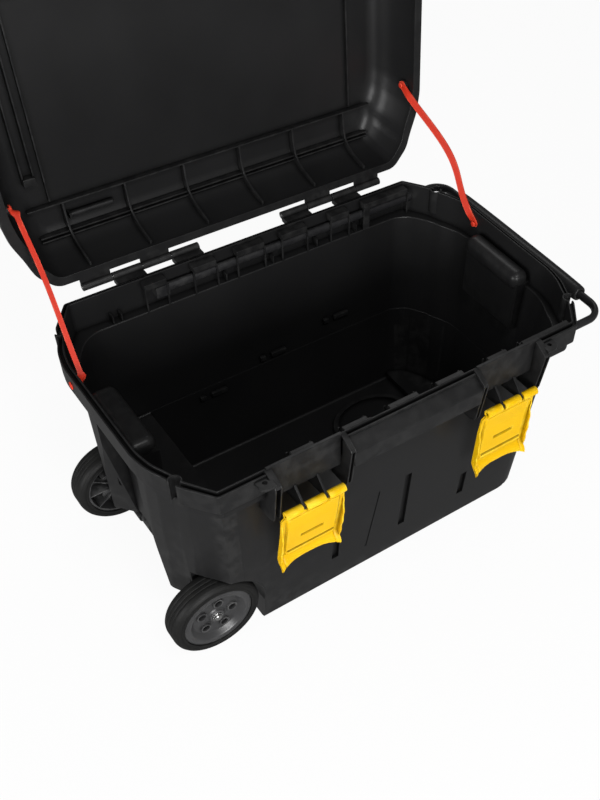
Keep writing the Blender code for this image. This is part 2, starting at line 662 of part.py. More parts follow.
def hinge_holes(bm):
    middle = KNUCKLE_START + KNUCKLES * KNUCKLE_LENGTH / 2
    for side in (-1, 1):
        add_rod(bm, (side * middle, HINGE_Y, HINGE_Z), "X", HINGE_PIN_RADIUS + HINGE_PIN_CLEARANCE,
                KNUCKLES * KNUCKLE_LENGTH + 2 * OVERRUN, SMALL_STEPS, pi / SMALL_STEPS)


def rod_hooks(bm):
    """Moulded hooks that reach from the wall over each rod of the handle."""
    low = ROD_Z + STOP_HALF_HEIGHT + HOOK_CLEARANCE
    wall = RIM_HALF_WIDTH - 2 * LIP - LIP_GROOVE_WIDTH + LIP / 2
    for side in (-1, 1):
        ends = sorted((side * (wall - HOOK_REACH), side * wall))
        for start, end in HOOK_SPANS:
            add_box(bm, (start, ends[0], low), (end, ends[1], RIM_HEIGHT - HOOK_DROP))


def stop_walls(bm):
    """Walls that the handle's stops come against when it's pulled out."""
    wall = RIM_HALF_WIDTH - 2 * LIP - LIP_GROOVE_WIDTH + LIP / 2
    for side in (-1, 1):
        ends = sorted((side * (wall - HOOK_REACH), side * wall))
        add_box(bm, (STOP_WALL_X, ends[0], LEDGE_HEIGHT - WALL / 2),
                (STOP_WALL_X + STOP_WALL_LENGTH, ends[1], ROD_Z + STOP_HALF_HEIGHT + 2 * HOOK_CLEARANCE))


def rod_holes(bm):
    length = RIM_HALF_LENGTH - STOP_WALL_X + 2 * OVERRUN
    for side in (-1, 1):
        add_rod(bm, (STOP_WALL_X + length / 2 - OVERRUN, side * ROD_Y, ROD_Z), "X",
                ROD_RADIUS + ROD_HOLE_CLEARANCE, length)
    for vert in bm.verts:
        vert.co.z = ROD_Z + (vert.co.z - ROD_Z) * ROD_OVAL


def end_humps(bm):
    """Humps inside the end walls, behind the recesses outside; the wheel end's reaches down to the floor."""
    half = HAND_HALF_WIDTH + WALL
    top = WALL_TOP + WALL / 2
    for side, inner, low in ((-1, -PANEL_X - WALL, BAY_ROOF), (1, HAND_X - WALL, HAND_BOTTOM - WALL)):
        verts = add_box(bm, (0, -half, low), (1, half, top))
        for vert in verts:
            outer = wall_x(vert.co.z) - WALL / 2
            vert.co.x = side * (outer if vert.co.x > 0.5 else inner)


def end_hump_tops(bm):
    half = HAND_HALF_WIDTH + WALL
    for side, inner in ((-1, -PANEL_X - WALL), (1, HAND_X - WALL)):
        ends = sorted((side * inner, side * (RIM_HALF_LENGTH - SKIRT_STEP - WALL / 2)))
        add_box(bm, (ends[0], -half, WALL_TOP - WALL / 2), (ends[1], half, HAND_TOP + WALL))


def end_recesses(bm):
    for side, inner, low in ((-1, -PANEL_X, PANEL_FOOT - OVERRUN), (1, HAND_X, HAND_BOTTOM)):
        ends = sorted((side * inner, side * RIM_HALF_LENGTH))
        add_box(bm, (ends[0], -HAND_HALF_WIDTH, low), (ends[1], HAND_HALF_WIDTH, HAND_TOP))


def rivet_pads(bm, outer, inner, y, z):
    """Flat pads on both faces of the lid's sloping end walls, round the holes for the straps' rivets."""
    length = outer - inner + 2 * RIVET_PAD
    for side in (-1, 1):
        add_rod(bm, (side * (outer + inner) / 2, y, z), "X", RIVET_PAD_RADIUS, length)


def rivet_holes(bm, x, y, z):
    for side in (-1, 1):
        add_rod(bm, (side * x, y, z), "X", RIVET_RADIUS + RIVET_CLEARANCE, 8 * RIVET_HEAD_RADIUS,
                SMALL_STEPS, pi / SMALL_STEPS)


def tub_rivet_faces():
    """Outer and inner face of the tub's end wall at the straps."""
    return end_x(rim_outline(0), STRAP_TUB_Y), end_x(rim_outline(LIP_GROOVE_WIDTH + 2 * LIP), STRAP_TUB_Y)


def build_tub():
    tub = tub_shell()
    steps = (
        ("DIFFERENCE", "deep_cavity", deep_cavity),
        ("UNION", "foot_step_floor", foot_step_floor),
        ("DIFFERENCE", "foot_step", foot_step),
        ("UNION", "end_humps", end_humps),
        ("UNION", "end_hump_tops", end_hump_tops),
        ("DIFFERENCE", "end_recesses", end_recesses),
        ("DIFFERENCE", "axle_bay", axle_bay),
        ("DIFFERENCE", "post_hollows", post_hollows),
        ("DIFFERENCE", "wheel_wells", wheel_wells),
        ("DIFFERENCE", "wheel_well_openings", wheel_well_openings),
        ("DIFFERENCE", "post_feet", post_feet),
        ("DIFFERENCE", "panel_opening", panel_opening),
        ("UNION", "axle_bosses", axle_bosses),
        ("UNION", "axle_boss_webs", axle_boss_webs),
        ("DIFFERENCE", "axle_hole", axle_hole),
        ("UNION", "pocket_backs", pocket_backs),
        ("DIFFERENCE", "latch_pocket", latch_pocket),
        ("UNION", "front_band", front_band),
        ("UNION", "cheeks", cheeks),
        ("UNION", "fin_roots", fin_roots),
        ("UNION", "fin_tips", fin_tips),
        ("DIFFERENCE", "latch_pin_holes", latch_pin_holes),
        ("UNION", "padlock_tabs", padlock_tabs),
        ("DIFFERENCE", "padlock_holes", padlock_holes),
        ("DIFFERENCE", "front_grooves", front_grooves),
        ("UNION", "tub_hinge_arms", tub_hinge_arms),
        ("UNION", "tub_knuckles", tub_knuckles),
        ("DIFFERENCE", "tub_hinge_holes", hinge_holes),
        ("UNION", "rod_hooks", rod_hooks),
        ("UNION", "stop_walls", stop_walls),
        ("DIFFERENCE", "rod_holes", rod_holes),
    )
    for operation, name, build in steps:
        boolean(tub, tool("cut_" + name, build), operation)
    inner = tub_rivet_faces()[1]
    height = RIM_HEIGHT - STRAP_TUB_DROP
    holes = tool("cut_tub_rivets", lambda bm: rivet_holes(bm, inner, STRAP_TUB_Y, height))
    boolean(tub, holes, "DIFFERENCE")
    return tub


# Lid, modelled closed about the hinge axis and then opened


def lid_level(height):
    """Height of a lid feature from its height over the rim, in the lid's own frame."""
    return height + LID_SEAT_GAP


def shifted(points):
    return [(x, y - HINGE_Y) for x, y in points]


def lid_shell():
    bm = bmesh.new()
    dome = [(share * LID_HEIGHT, inset * LID_HALF_WIDTH) for share, inset in LID_DOME_SHARES]
    outer = [(shifted(lid_outline(0)), lid_level(0)), (shifted(lid_outline(0)), lid_level(LID_FLANGE))]
    for height, inset in dome:
        outer.append((shifted(lid_outline(inset)), lid_level(height)))
    inner = []
    for height, inset in dome[::-1]:
        inner.append((shifted(lid_outline(inset + LID_WALL)), lid_level(height - LID_WALL)))
    inner.append((shifted(lid_outline(dome[0][1] + LID_WALL)), lid_level(0)))
    loft(bm, inner + outer)
    return new_object("lid", mesh_from(bm, "lid"), mat=BLACK)


def lid_ribs(bm):
    inner_reach = LID_HALF_LENGTH - LID_HALF_WIDTH * LID_DOME_SHARES[2][1] - 2 * LID_WALL
    for y, top, reach in ((LID_INNER_RIB_Y, LID_HEIGHT - LID_WALL / 2, inner_reach),
                          (LID_OUTER_RIB_Y, LID_OUTER_RIB_TOP, LID_OUTER_RIB_REACH)):
        for side in (-1, 1):
            middle = side * y - HINGE_Y
            add_box(bm, (-reach, middle - LID_RIB / 2, lid_level(top - LID_RIB_DEPTH)),
                    (reach, middle + LID_RIB / 2, lid_level(top)))


def lid_cross_ribs(bm):
    top = lid_level(LID_HEIGHT - LID_WALL / 2)
    low = lid_level(LID_OUTER_RIB_TOP - LID_RIB_DEPTH / 2)
    points = [(LID_INNER_RIB_Y, low), (LID_INNER_RIB_Y, top), (LID_ROOF_EDGE_Y, top),
              (LID_OUTER_RIB_Y, lid_level(LID_OUTER_RIB_TOP)), (LID_OUTER_RIB_Y, low)]
    for number in range(LID_CROSS_RIBS):
        x = (number - (LID_CROSS_RIBS - 1) / 2) * LID_CROSS_RIB_PITCH
        for side in (-1, 1):
            add_plate(bm, x - LID_RIB / 2, x + LID_RIB / 2, [(side * y - HINGE_Y, z) for y, z in points])


def lid_catch_walls(bm):
    for side in (-1, 1):
        half = CATCH_RECESS_HALF_WIDTH + LID_CATCH_WALL
        add_box(bm, (side * LATCH_X - half, POCKET_BACK_Y - HINGE_Y, lid_level(LID_FLANGE / 2)),
                (side * LATCH_X + half, CATCH_RECESS_Y - HINGE_Y + LID_CATCH_WALL,
                 lid_level(CATCH_RECESS_TOP + LID_CATCH_WALL)))


def lid_catch_recess(bm):
    for side in (-1, 1):
        half = CATCH_RECESS_HALF_WIDTH
        add_box(bm, (side * LATCH_X - half, -LID_HALF_WIDTH - HINGE_Y - OVERRUN, lid_level(LID_FLANGE)),
                (side * LATCH_X + half, CATCH_RECESS_Y - HINGE_Y, lid_level(CATCH_RECESS_TOP)))


def lid_catch_sides(bm):
    """Gaps in the flange beside each catch, for the latch's side flanges."""
    for latch_side in (-1, 1):
        for side in (-1, 1):
            ends = sorted((latch_side * LATCH_X + side * CATCH_HALF_WIDTH,
                           latch_side * LATCH_X + side * (POCKET_HALF_WIDTH + CHEEK_PLATE)))
            add_box(bm, (ends[0], -LID_HALF_WIDTH - HINGE_Y - OVERRUN, lid_level(-OVERRUN)),
                    (ends[1], POCKET_BACK_Y + SEAT_GAP - HINGE_Y, lid_level(LID_FLANGE + OVERRUN / 2)))


def lid_hinge_arms(bm):
    inner = LID_HALF_WIDTH - HINGE_Y - KNUCKLE_RADIUS
    for start, end in knuckle_spans(True):
        add_box(bm, (start, inner, lid_level(0)), (end, 0, lid_level(HINGE_ARM)))


def lid_knuckles(bm):
    for start, end in knuckle_spans(True):
        add_rod(bm, ((start + end) / 2, 0, 0), "X", KNUCKLE_RADIUS, end - start)


def lid_rivet_faces():
    """Outer and inner face of the lid's end wall at the straps."""
    (low, low_inset), (high, high_inset) = LID_DOME_SHARES[:2]
    share = (STRAP_LID_RISE - LID_SEAT_GAP - low * LID_HEIGHT) / ((high - low) * LID_HEIGHT)
    inset = (low_inset + (high_inset - low_inset) * share) * LID_HALF_WIDTH
    y = HINGE_Y - STRAP_LID_RADIUS
    return end_x(lid_outline(inset), y), end_x(lid_outline(inset + LID_WALL), y)


def build_lid():
    lid = lid_shell()
    steps = (
        ("UNION", "lid_ribs", lid_ribs),
        ("UNION", "lid_cross_ribs", lid_cross_ribs),
        ("UNION", "lid_catch_walls", lid_catch_walls),
        ("DIFFERENCE", "lid_catch_recess", lid_catch_recess),
        ("DIFFERENCE", "lid_catch_sides", lid_catch_sides),
        ("UNION", "lid_hinge_arms", lid_hinge_arms),
        ("UNION", "lid_knuckles", lid_knuckles),
    )
    guides = []
    for operation, name, build in steps:
        guide = tool("cut_" + name, build)
        boolean(lid, guide, operation)
        guides.append(guide)
    pins = tool("cut_lid_hinge_holes", hinge_holes, (0, -HINGE_Y, -HINGE_Z))
    boolean(lid, pins, "DIFFERENCE")
    outer, inner = lid_rivet_faces()
    place = (-STRAP_LID_RADIUS, STRAP_LID_RISE)
    pads = tool("cut_lid_rivet_pads", lambda bm: rivet_pads(bm, outer, inner, *place))
    boolean(lid, pads, "UNION")
    holes = tool("cut_lid_rivets", lambda bm: rivet_holes(bm, inner, -STRAP_LID_RADIUS, STRAP_LID_RISE))
    boolean(lid, holes, "DIFFERENCE")
    guides += [pins, pads, holes]
    frame = bpy.data.objects.new("lid_frame", None)
    CUTTERS.objects.link(frame)
    frame.location = (0, HINGE_Y, HINGE_Z)
    frame.rotation_euler = (-LID_OPEN_ANGLE, 0, 0)
    for obj in [lid] + guides:
        obj.parent = frame
    return frame


# Latches


def latch_body(bm):
    add_rod(bm, (0, 0, 0), "X", BARREL_RADIUS, 2 * BARREL_HALF_LENGTH)


def latch_flap(bm):
    """The flap, bent from a flat strip: neck, plate and outward lip, as one extruded section."""
    back = FLAP_THICKNESS / 2
    section = [(-back, 0), (back, 0), (back, -FLAP_LENGTH),
               (-back - FLAP_LIP_OUT, -FLAP_LENGTH - FLAP_LIP_DROP),
               (-back - FLAP_LIP_OUT, -FLAP_LENGTH - FLAP_LIP_DROP + FLAP_THICKNESS * 1.2),
               (-back, -FLAP_LENGTH + FLAP_THICKNESS * 1.2)]
    verts = [bm.verts.new((-FLAP_HALF_WIDTH, y, z)) for y, z in section]
    face = bm.faces.new(verts)
    made = bmesh.ops.extrude_face_region(bm, geom=[face])
    moved = [item for item in made["geom"] if isinstance(item, bmesh.types.BMVert)]
    bmesh.ops.translate(bm, verts=moved, vec=(2 * FLAP_HALF_WIDTH, 0, 0))
    for vert in bm.verts:
        if vert.co.z > -BARREL_RADIUS:
            vert.co.x *= (BARREL_HALF_LENGTH - FLAP_THICKNESS) / FLAP_HALF_WIDTH


def latch_flanges(bm):
    front = -FLAP_THICKNESS / 2
    for side in (-1, 1):
        ends = sorted((side * FLAP_HALF_WIDTH, side * (FLAP_HALF_WIDTH - FLAP_THICKNESS)))
        verts = add_box(bm, (ends[0], front - FLAP_FLANGE_DEPTH, -FLAP_LENGTH - FLAP_LIP_DROP / 2),
                        (ends[1], 0, FLAP_TOP))
        for vert in verts:
            if vert.co.z > FLAP_TOP - OVERRUN and vert.co.y < front:
                vert.co.y = front - FLAP_THICKNESS
    ridge = -FLAP_RIDGE_DROP
    half = FLAP_HALF_WIDTH - 2 * FLAP_THICKNESS
    add_box(bm, (-half, front - FLAP_RIDGE_HEIGHT, ridge - FLAP_RIDGE_THICKNESS / 2),
            (half, 0, ridge + FLAP_RIDGE_THICKNESS / 2))
    bar = -FLAP_BAR_DROP
    add_box(bm, (-FLAP_BAR_HALF_LENGTH, front - FLAP_RIDGE_HEIGHT / 2, bar - FLAP_RIDGE_THICKNESS / 2),
            (FLAP_BAR_HALF_LENGTH, 0, bar + FLAP_RIDGE_THICKNESS / 2))


def latch_cuts(bm):
    """Slots for the tub's fins, the flap's cut shoulders and the scoop in its lip."""
    for side in (-1, 1):
        x = side * FIN_OFFSET
        half = FIN_THICKNESS / 2 + FIN_CLEARANCE
        add_box(bm, (x - half, -BARREL_RADIUS - OVERRUN, -FIN_TIP_RADIUS - 2 * FIN_CLEARANCE),
                (x + half, BARREL_RADIUS + OVERRUN, BARREL_RADIUS + OVERRUN))
    radius = 2 * FLAP_HALF_WIDTH
    scoop = -FLAP_LIP_OUT - FLAP_THICKNESS / 2 - radius + FLAP_LIP_OUT * 0.55
    add_rod(bm, (0, scoop, -FLAP_LENGTH), "Z", radius, 4 * FLAP_LIP_DROP, ROUND_STEPS)


def latch_pin_hole(bm):
    add_rod(bm, (0, 0, 0), "X", LATCH_PIN_RADIUS + LATCH_PIN_CLEARANCE, 2 * (FIN_OFFSET + FIN_THICKNESS * 2),
            SMALL_STEPS, pi / SMALL_STEPS)


def build_latch(name, x):
    bm = bmesh.new()
    latch_body(bm)
    latch = new_object("latch_" + name, mesh_from(bm, "latch_" + name), mat=YELLOW)
    frame = bpy.data.objects.new("latch_frame_" + name, None)
    CUTTERS.objects.link(frame)
    frame.location = (x, LATCH_AXIS_Y, LATCH_AXIS_Z)
    latch.parent = frame
    for operation, label, build in (("UNION", "flap", latch_flap), ("UNION", "flanges", latch_flanges),
                                    ("DIFFERENCE", "cuts", latch_cuts),
                                    ("DIFFERENCE", "pin_hole", latch_pin_hole)):
        guide = tool("cut_%s_%s" % (name, label), build)
        guide.parent = frame
        boolean(latch, guide, operation)
    bm = bmesh.new()
    add_rod(bm, (0, 0, 0), "X", LATCH_PIN_RADIUS, 2 * (FIN_OFFSET + FIN_THICKNESS * 2 - SEAT_GAP),
            SMALL_STEPS, pi / SMALL_STEPS)
    pin = new_object("latch_pin_" + name, mesh_from(bm, "latch_pin_" + name), mat=STEEL)
    pin.parent = frame


# Hinge pins


def build_hinge_pin(name, side):
    middle = KNUCKLE_START + KNUCKLES * KNUCKLE_LENGTH / 2
    bm = bmesh.new()
    add_rod(bm, (0, 0, 0), "X", HINGE_PIN_RADIUS, KNUCKLES * KNUCKLE_LENGTH, SMALL_STEPS, pi / SMALL_STEPS)
    pin = new_object("hinge_pin_" + name, mesh_from(bm, "hinge_pin_" + name), mat=STEEL)
    pin.location = (side * middle, HINGE_Y, HINGE_Z)


# Turned pieces


def turned(name, profile, steps, mat, location, rotation):
    """A profile of (radius, height) turned about Z, closed by its last edge unless it starts on the axis."""
    bm = bmesh.new()
    verts = [bm.verts.new((radius, 0, height)) for radius, height in profile]
    following = verts[1:] if profile[0][0] == 0 else verts[1:] + verts[:1]
    for a, b in zip(verts, following):
        bm.edges.new((a, b))
    mesh = bpy.data.meshes.new(name)
    bm.to_mesh(mesh)
    bm.free()
    obj = new_object(name, mesh, mat=mat)
    screw = obj.modifiers.new("turn", "SCREW")
    screw.axis = "Z"
    screw.angle = 2 * pi
    screw.steps = steps
    screw.render_steps = steps
    screw.use_merge_vertices = True
    screw.merge_threshold = WELD
    obj.location = location
    obj.rotation_euler = rotation
    return obj


def build_wheel(name, side):
    """Hub and tyre, with +Z of their own frame pointing out of the trunk."""
    face = (WHEEL_X, side * WHEEL_FACE_Y, AXLE_HEIGHT)
    out = (-side * pi / 2, 0, 0)
    bore = AXLE_RADIUS + AXLE_CLEARANCE
    inner = HUB_RADIUS - HUB_WALL
    hub = turned("wheel_hub_" + name, [
        (HUB_RADIUS, -HUB_WALL), (HUB_RADIUS, -WHEEL_WIDTH + HUB_WALL), (inner, -WHEEL_WIDTH + HUB_WALL),
        (inner, -HUB_DISH - HUB_WEB), (HUB_BOSS_RADIUS, -HUB_DISH - HUB_WEB),
        (HUB_BOSS_RADIUS, -WHEEL_WIDTH),
        (bore, -WHEEL_WIDTH), (bore, -HUB_DISH), (inner - HUB_DISH, -HUB_DISH), (inner, -HUB_WALL / 2)],
        ROUND_STEPS, GREY, face, out)
    def holes(bm):
        for number in range(HUB_HOLES):
            angle = 2 * pi * (number + 0.25) / HUB_HOLES
            centre = (HUB_HOLE_PITCH * cos(angle), HUB_HOLE_PITCH * sin(angle), -HUB_DISH - HUB_WEB / 2)
            add_rod(bm, centre, "Z", HUB_HOLE_RADIUS, HUB_WEB + 2 * OVERRUN)
    cutter = tool("cut_hub_" + name, holes, face)
    cutter.rotation_euler = out
    boolean(hub, cutter, "DIFFERENCE")
    bead = HUB_RADIUS + SEAT_GAP
    turned("tyre_" + name, [
        (WHEEL_RADIUS - TYRE_SHOULDER, 0), (WHEEL_RADIUS - TYRE_SHOULDER / 3, -TYRE_SHOULDER / 3),
        (WHEEL_RADIUS, -TYRE_SHOULDER), (WHEEL_RADIUS, -WHEEL_WIDTH + TYRE_SHOULDER),
        (WHEEL_RADIUS - TYRE_SHOULDER / 3, -WHEEL_WIDTH + TYRE_SHOULDER / 3),
        (WHEEL_RADIUS - TYRE_SHOULDER, -WHEEL_WIDTH), (bead, -WHEEL_WIDTH + SEAT_GAP), (bead, -SEAT_GAP)],
        ROUND_STEPS, TYRE, face, out)


def build_axle():
    bm = bmesh.new()
    half = WHEEL_FACE_Y - HUB_DISH + CAP_LENGTH - CAP_SKIRT - SEAT_GAP
    add_rod(bm, (0, 0, 0), "Y", AXLE_RADIUS, 2 * half)
    axle = new_object("axle", mesh_from(bm, "axle"), mat=STEEL)
    axle.location = (WHEEL_X, 0, AXLE_HEIGHT)
    for name, side in (("front", -1), ("rear", 1)):
        seat = WHEEL_FACE_Y - HUB_DISH + SEAT_GAP
        turned("axle_cap_" + name, [
            (0, CAP_LENGTH), (CAP_RADIUS * 0.6, CAP_LENGTH), (CAP_RADIUS * 0.8, CAP_LENGTH - CAP_SKIRT),
            (CAP_RADIUS, CAP_SKIRT), (CAP_RADIUS, 0), (AXLE_RADIUS + SEAT_GAP, 0),
            (AXLE_RADIUS + SEAT_GAP, CAP_LENGTH - CAP_SKIRT), (0, CAP_LENGTH - CAP_SKIRT)],
            SMALL_STEPS, STEEL, (WHEEL_X, side * seat, AXLE_HEIGHT), (-side * pi / 2, 0, 0))
        seat = WHEEL_FACE_Y - WHEEL_WIDTH - SEAT_GAP
        length = WHEEL_SIDE_CLEARANCE - 2 * SEAT_GAP
        turned("wheel_washer_" + name, [
            (WASHER_RADIUS, 0), (WASHER_RADIUS, -length), (AXLE_RADIUS + SEAT_GAP, -length),
            (AXLE_RADIUS + SEAT_GAP, 0)],
            SMALL_STEPS, STEEL, (WHEEL_X, side * seat, AXLE_HEIGHT), (-side * pi / 2, 0, 0))


# Pull handle


def tube(name, points, radius, mat):
    """A round rod along points, made from a curve with filled caps."""
    curve = bpy.data.curves.new(name, "CURVE")
    curve.dimensions = "3D"
    curve.bevel_depth = radius
    curve.bevel_resolution = 2
    curve.use_fill_caps = True
    spline = curve.splines.new("POLY")
    spline.points.add(len(points) - 1)
    for slot, point in zip(spline.points, points):
        slot.co = (*point, 1)
    guide = bpy.data.objects.new(name, curve)
    bm = bmesh.new()
    bm.from_mesh(bpy.data.meshes.new_from_object(guide))
    bpy.data.objects.remove(guide)
    bmesh.ops.remove_doubles(bm, verts=bm.verts, dist=WELD)
    return new_object(name, mesh_from(bm, name), mat=mat)


def build_handle():
    corner_x = GRIP_X - ROD_BEND
    corner_y = ROD_Y - ROD_BEND
    bend = [(corner_x + ROD_BEND * sin(radians(angle)), corner_y + ROD_BEND * cos(radians(angle)))
            for angle in range(0, 91, 15)]
    half = [(ROD_INNER_X + STOP_LENGTH / 2, ROD_Y), (0, ROD_Y)] + bend
    points = [(x, y, 0) for x, y in half] + [(x, -y, 0) for x, y in half[::-1]]
    frame = tube("handle_frame", points, ROD_RADIUS, BLACK)
    frame.data.transform(Matrix.Diagonal((1, 1, ROD_OVAL, 1)))
    frame.location = (0, 0, ROD_Z)
    turned("handle_grip", [
        (GRIP_RADIUS - GRIP_STEP, GRIP_HALF_LENGTH), (GRIP_RADIUS, GRIP_HALF_LENGTH - GRIP_STEP),
        (GRIP_RADIUS, -GRIP_HALF_LENGTH + GRIP_STEP), (GRIP_RADIUS - GRIP_STEP, -GRIP_HALF_LENGTH),
        (ROD_RADIUS * ROD_OVAL + SEAT_GAP, -GRIP_HALF_LENGTH),
        (ROD_RADIUS * ROD_OVAL + SEAT_GAP, GRIP_HALF_LENGTH)],
        ROUND_STEPS // 2, BLACK, (GRIP_X, 0, ROD_Z), (pi / 2, 0, 0))
    for name, side in (("front", -1), ("rear", 1)):
        bm = bmesh.new()
        add_box(bm, (0, -STOP_HALF_WIDTH, -STOP_HALF_HEIGHT),
                (STOP_LENGTH, STOP_HALF_WIDTH, STOP_HALF_HEIGHT))
        stop = new_object("handle_stop_" + name, mesh_from(bm, "handle_stop_" + name), mat=BLACK)
        stop.location = (ROD_INNER_X, side * ROD_Y, ROD_Z)
        def socket(bm):
            depth = STOP_LENGTH / 2 - SEAT_GAP
            add_rod(bm, (depth + STOP_LENGTH / 2, 0, 0), "X", ROD_RADIUS + SEAT_GAP, STOP_LENGTH)
            for vert in bm.verts:
                vert.co.z *= ROD_OVAL
        cutter = tool("cut_stop_" + name, socket, (ROD_INNER_X, side * ROD_Y, ROD_Z))
        boolean(stop, cutter, "DIFFERENCE")


# Straps and their rivets


def lid_anchor():
    """Where the strap is riveted to the open lid."""
    y = -STRAP_LID_RADIUS * cos(LID_OPEN_ANGLE) + STRAP_LID_RISE * sin(LID_OPEN_ANGLE)
    z = STRAP_LID_RADIUS * sin(LID_OPEN_ANGLE) + STRAP_LID_RISE * cos(LID_OPEN_ANGLE)
    return HINGE_Y + y, HINGE_Z + z


def build_strap(name, start, end):
    """A flat band between two rivets with a round eye at each end, flat against the trunk's end."""
    length = (end - start).length
    along = (end - start) / length
    across = along.cross(Vector((1, 0, 0))).normalized()
    turn = Matrix((along, across, along.cross(across))).transposed().to_4x4()
    eye = STRAP_WIDTH / 2
    bm = bmesh.new()
    add_box(bm, (0, -eye * STRAP_NECK, -STRAP_THICKNESS / 2),
            (length, eye * STRAP_NECK, STRAP_THICKNESS / 2))
    strap = new_object("strap_" + name, mesh_from(bm, "strap_" + name), mat=RED)
    strap.matrix_world = Matrix.Translation(start) @ turn

    def eyes(bm):
        for x in (0, length):
            add_rod(bm, (x, 0, 0), "Z", eye, STRAP_THICKNESS + STRAP_WALL_GAP, SMALL_STEPS)

    def holes(bm):
        for x in (0, length):
            add_rod(bm, (x, 0, 0), "Z", RIVET_RADIUS + RIVET_CLEARANCE, 4 * STRAP_THICKNESS, SMALL_STEPS)

    for label, build, operation in (("eyes", eyes, "UNION"), ("holes", holes, "DIFFERENCE")):
        guide = tool("cut_strap_%s_%s" % (name, label), build)
        guide.matrix_world = strap.matrix_world
        boolean(strap, guide, operation)


def build_rivet(name, side, outer, strap_x, y, z):
    """A snap rivet from outside the wall to inside the strap, its +Z pointing out of the trunk."""
    outside = outer + SEAT_GAP
    depth = outside - strap_x + STRAP_THICKNESS
    turned(name, [
        (0, RIVET_HEAD), (RIVET_HEAD_RADIUS * 0.7, RIVET_HEAD), (RIVET_HEAD_RADIUS, RIVET_HEAD / 2),
        (RIVET_HEAD_RADIUS, 0), (RIVET_RADIUS, 0), (RIVET_RADIUS, -depth), (RIVET_TAIL_RADIUS, -depth),
        (RIVET_TAIL_RADIUS * 0.8, -depth - RIVET_TAIL), (0, -depth - RIVET_TAIL)],
        SMALL_STEPS, RED, (side * outside, y, z), (0, side * pi / 2, 0))


def build_straps():
    y, z = lid_anchor()
    offset = STRAP_WALL_GAP + STRAP_THICKNESS / 2
    tub_outer, tub_inner = tub_rivet_faces()
    lid_outer, lid_inner = lid_rivet_faces()
    tub_x = tub_inner - offset
    lid_x = lid_inner - RIVET_PAD - offset
    height = RIM_HEIGHT - STRAP_TUB_DROP
    for name, side in (("left", -1), ("right", 1)):
        build_strap(name, Vector((side * tub_x, STRAP_TUB_Y, height)), Vector((side * lid_x, y, z)))
        build_rivet("strap_rivet_tub_" + name, side, tub_outer, tub_x, STRAP_TUB_Y, height)
        build_rivet("strap_rivet_lid_" + name, side, lid_outer + RIVET_PAD, lid_x, y, z)


def main():
    build_tub()
    build_lid()
    build_axle()
    for name, side in (("left", -1), ("right", 1)):
        build_latch(name, side * LATCH_X)
        build_hinge_pin(name, side)
    for name, side in (("front", -1), ("rear", 1)):
        build_wheel(name, side)
    build_handle()
    build_straps()


main()
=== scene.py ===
"""Looks of the rolling trunk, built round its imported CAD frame. +Z up, wheels towards -X, latches towards -Y,
lid open. Every moulding is a bmesh of closed forms with softened edges."""
from math import cos, pi, radians, sin, sqrt

import bmesh
import bpy
from mathutils import Matrix, Vector


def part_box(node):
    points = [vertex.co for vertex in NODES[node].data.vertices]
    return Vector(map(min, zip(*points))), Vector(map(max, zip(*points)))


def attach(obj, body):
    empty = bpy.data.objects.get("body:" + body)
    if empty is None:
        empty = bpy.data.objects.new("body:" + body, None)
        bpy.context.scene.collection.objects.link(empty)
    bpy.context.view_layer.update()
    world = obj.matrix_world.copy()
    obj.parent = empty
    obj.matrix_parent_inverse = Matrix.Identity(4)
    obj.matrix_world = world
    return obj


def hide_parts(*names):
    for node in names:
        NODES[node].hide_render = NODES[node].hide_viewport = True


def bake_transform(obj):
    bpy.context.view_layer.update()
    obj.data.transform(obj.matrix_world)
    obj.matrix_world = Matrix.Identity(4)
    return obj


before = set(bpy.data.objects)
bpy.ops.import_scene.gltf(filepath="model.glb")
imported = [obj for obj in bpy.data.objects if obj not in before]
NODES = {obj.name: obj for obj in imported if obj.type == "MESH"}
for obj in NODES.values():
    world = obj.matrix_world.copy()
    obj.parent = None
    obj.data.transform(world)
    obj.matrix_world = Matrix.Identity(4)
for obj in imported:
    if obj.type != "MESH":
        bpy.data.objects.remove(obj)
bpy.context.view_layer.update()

MM = 0.001

# The sides' names, with the signs of their places along x and along y
SIDES = {"left": -1, "right": 1}
WHEEL_SIDES = {"front": -1, "rear": 1}

# Lengths below are millimetres, and a finished piece is scaled to metres; camera and lights are in metres

# A lift too small to see, that keeps levels apart
HAIR = 0.02

# Rim and walls of the tub
RIM = 395.5
HALF_WIDTH = 222.5
HALF_LENGTH = 364
STRAIGHT = 306
CHAMFER = Vector((32, 42))
SKIRT = 36
SKIRT_STEP = 6.5
LIP = 2.6
GROOVE = 4.4
WALL = 3
LEDGE = 345
WALL_TOP = LEDGE - WALL
FLOOR = 4
END_FLOOR = 158
DEEP_START = -224
# set back / length and place along the end / width, from the corner to the middle
BOW = ((0.050, 0.13), (0.016, 0.28), (0.0, 0.446))
ROLES = ["bow", "bow", "bow", "chamfer", "straight", "straight", "chamfer", "bow", "bow", "bow"] * 2

# Wheels
WHEEL = Vector((-311.5, 0, 73.1))
WHEEL_FACE = 181
ARCH = 81
WELL_INNER = 135
HOLE_TURN = -0.16
POST_FOOT = 86
END_FACE = 349

# Bay for the axle, with hollows beside it, and the recesses in both ends
BAY_HALF = 132
BAY_END = -233
RECESS_HALF = 62
RECESS_TOP = 349

# Thin upright plates
THIN = 2.4

# Latches
LATCH_X = 174.5
LATCH_AXIS = Vector((0, -240, 317.5))
POCKET_HALF = 56
POCKET_BACK = -217.5
FIN_OFFSET = 18
FLAP_LENGTH = 136
FLAP_BEND = {"left": 0.05, "right": -0.085}
# the share of the flap's width between its flanges
FLAT_SHARE = 0.84
SHORT_BAR = 72
LONG_BAR = 100

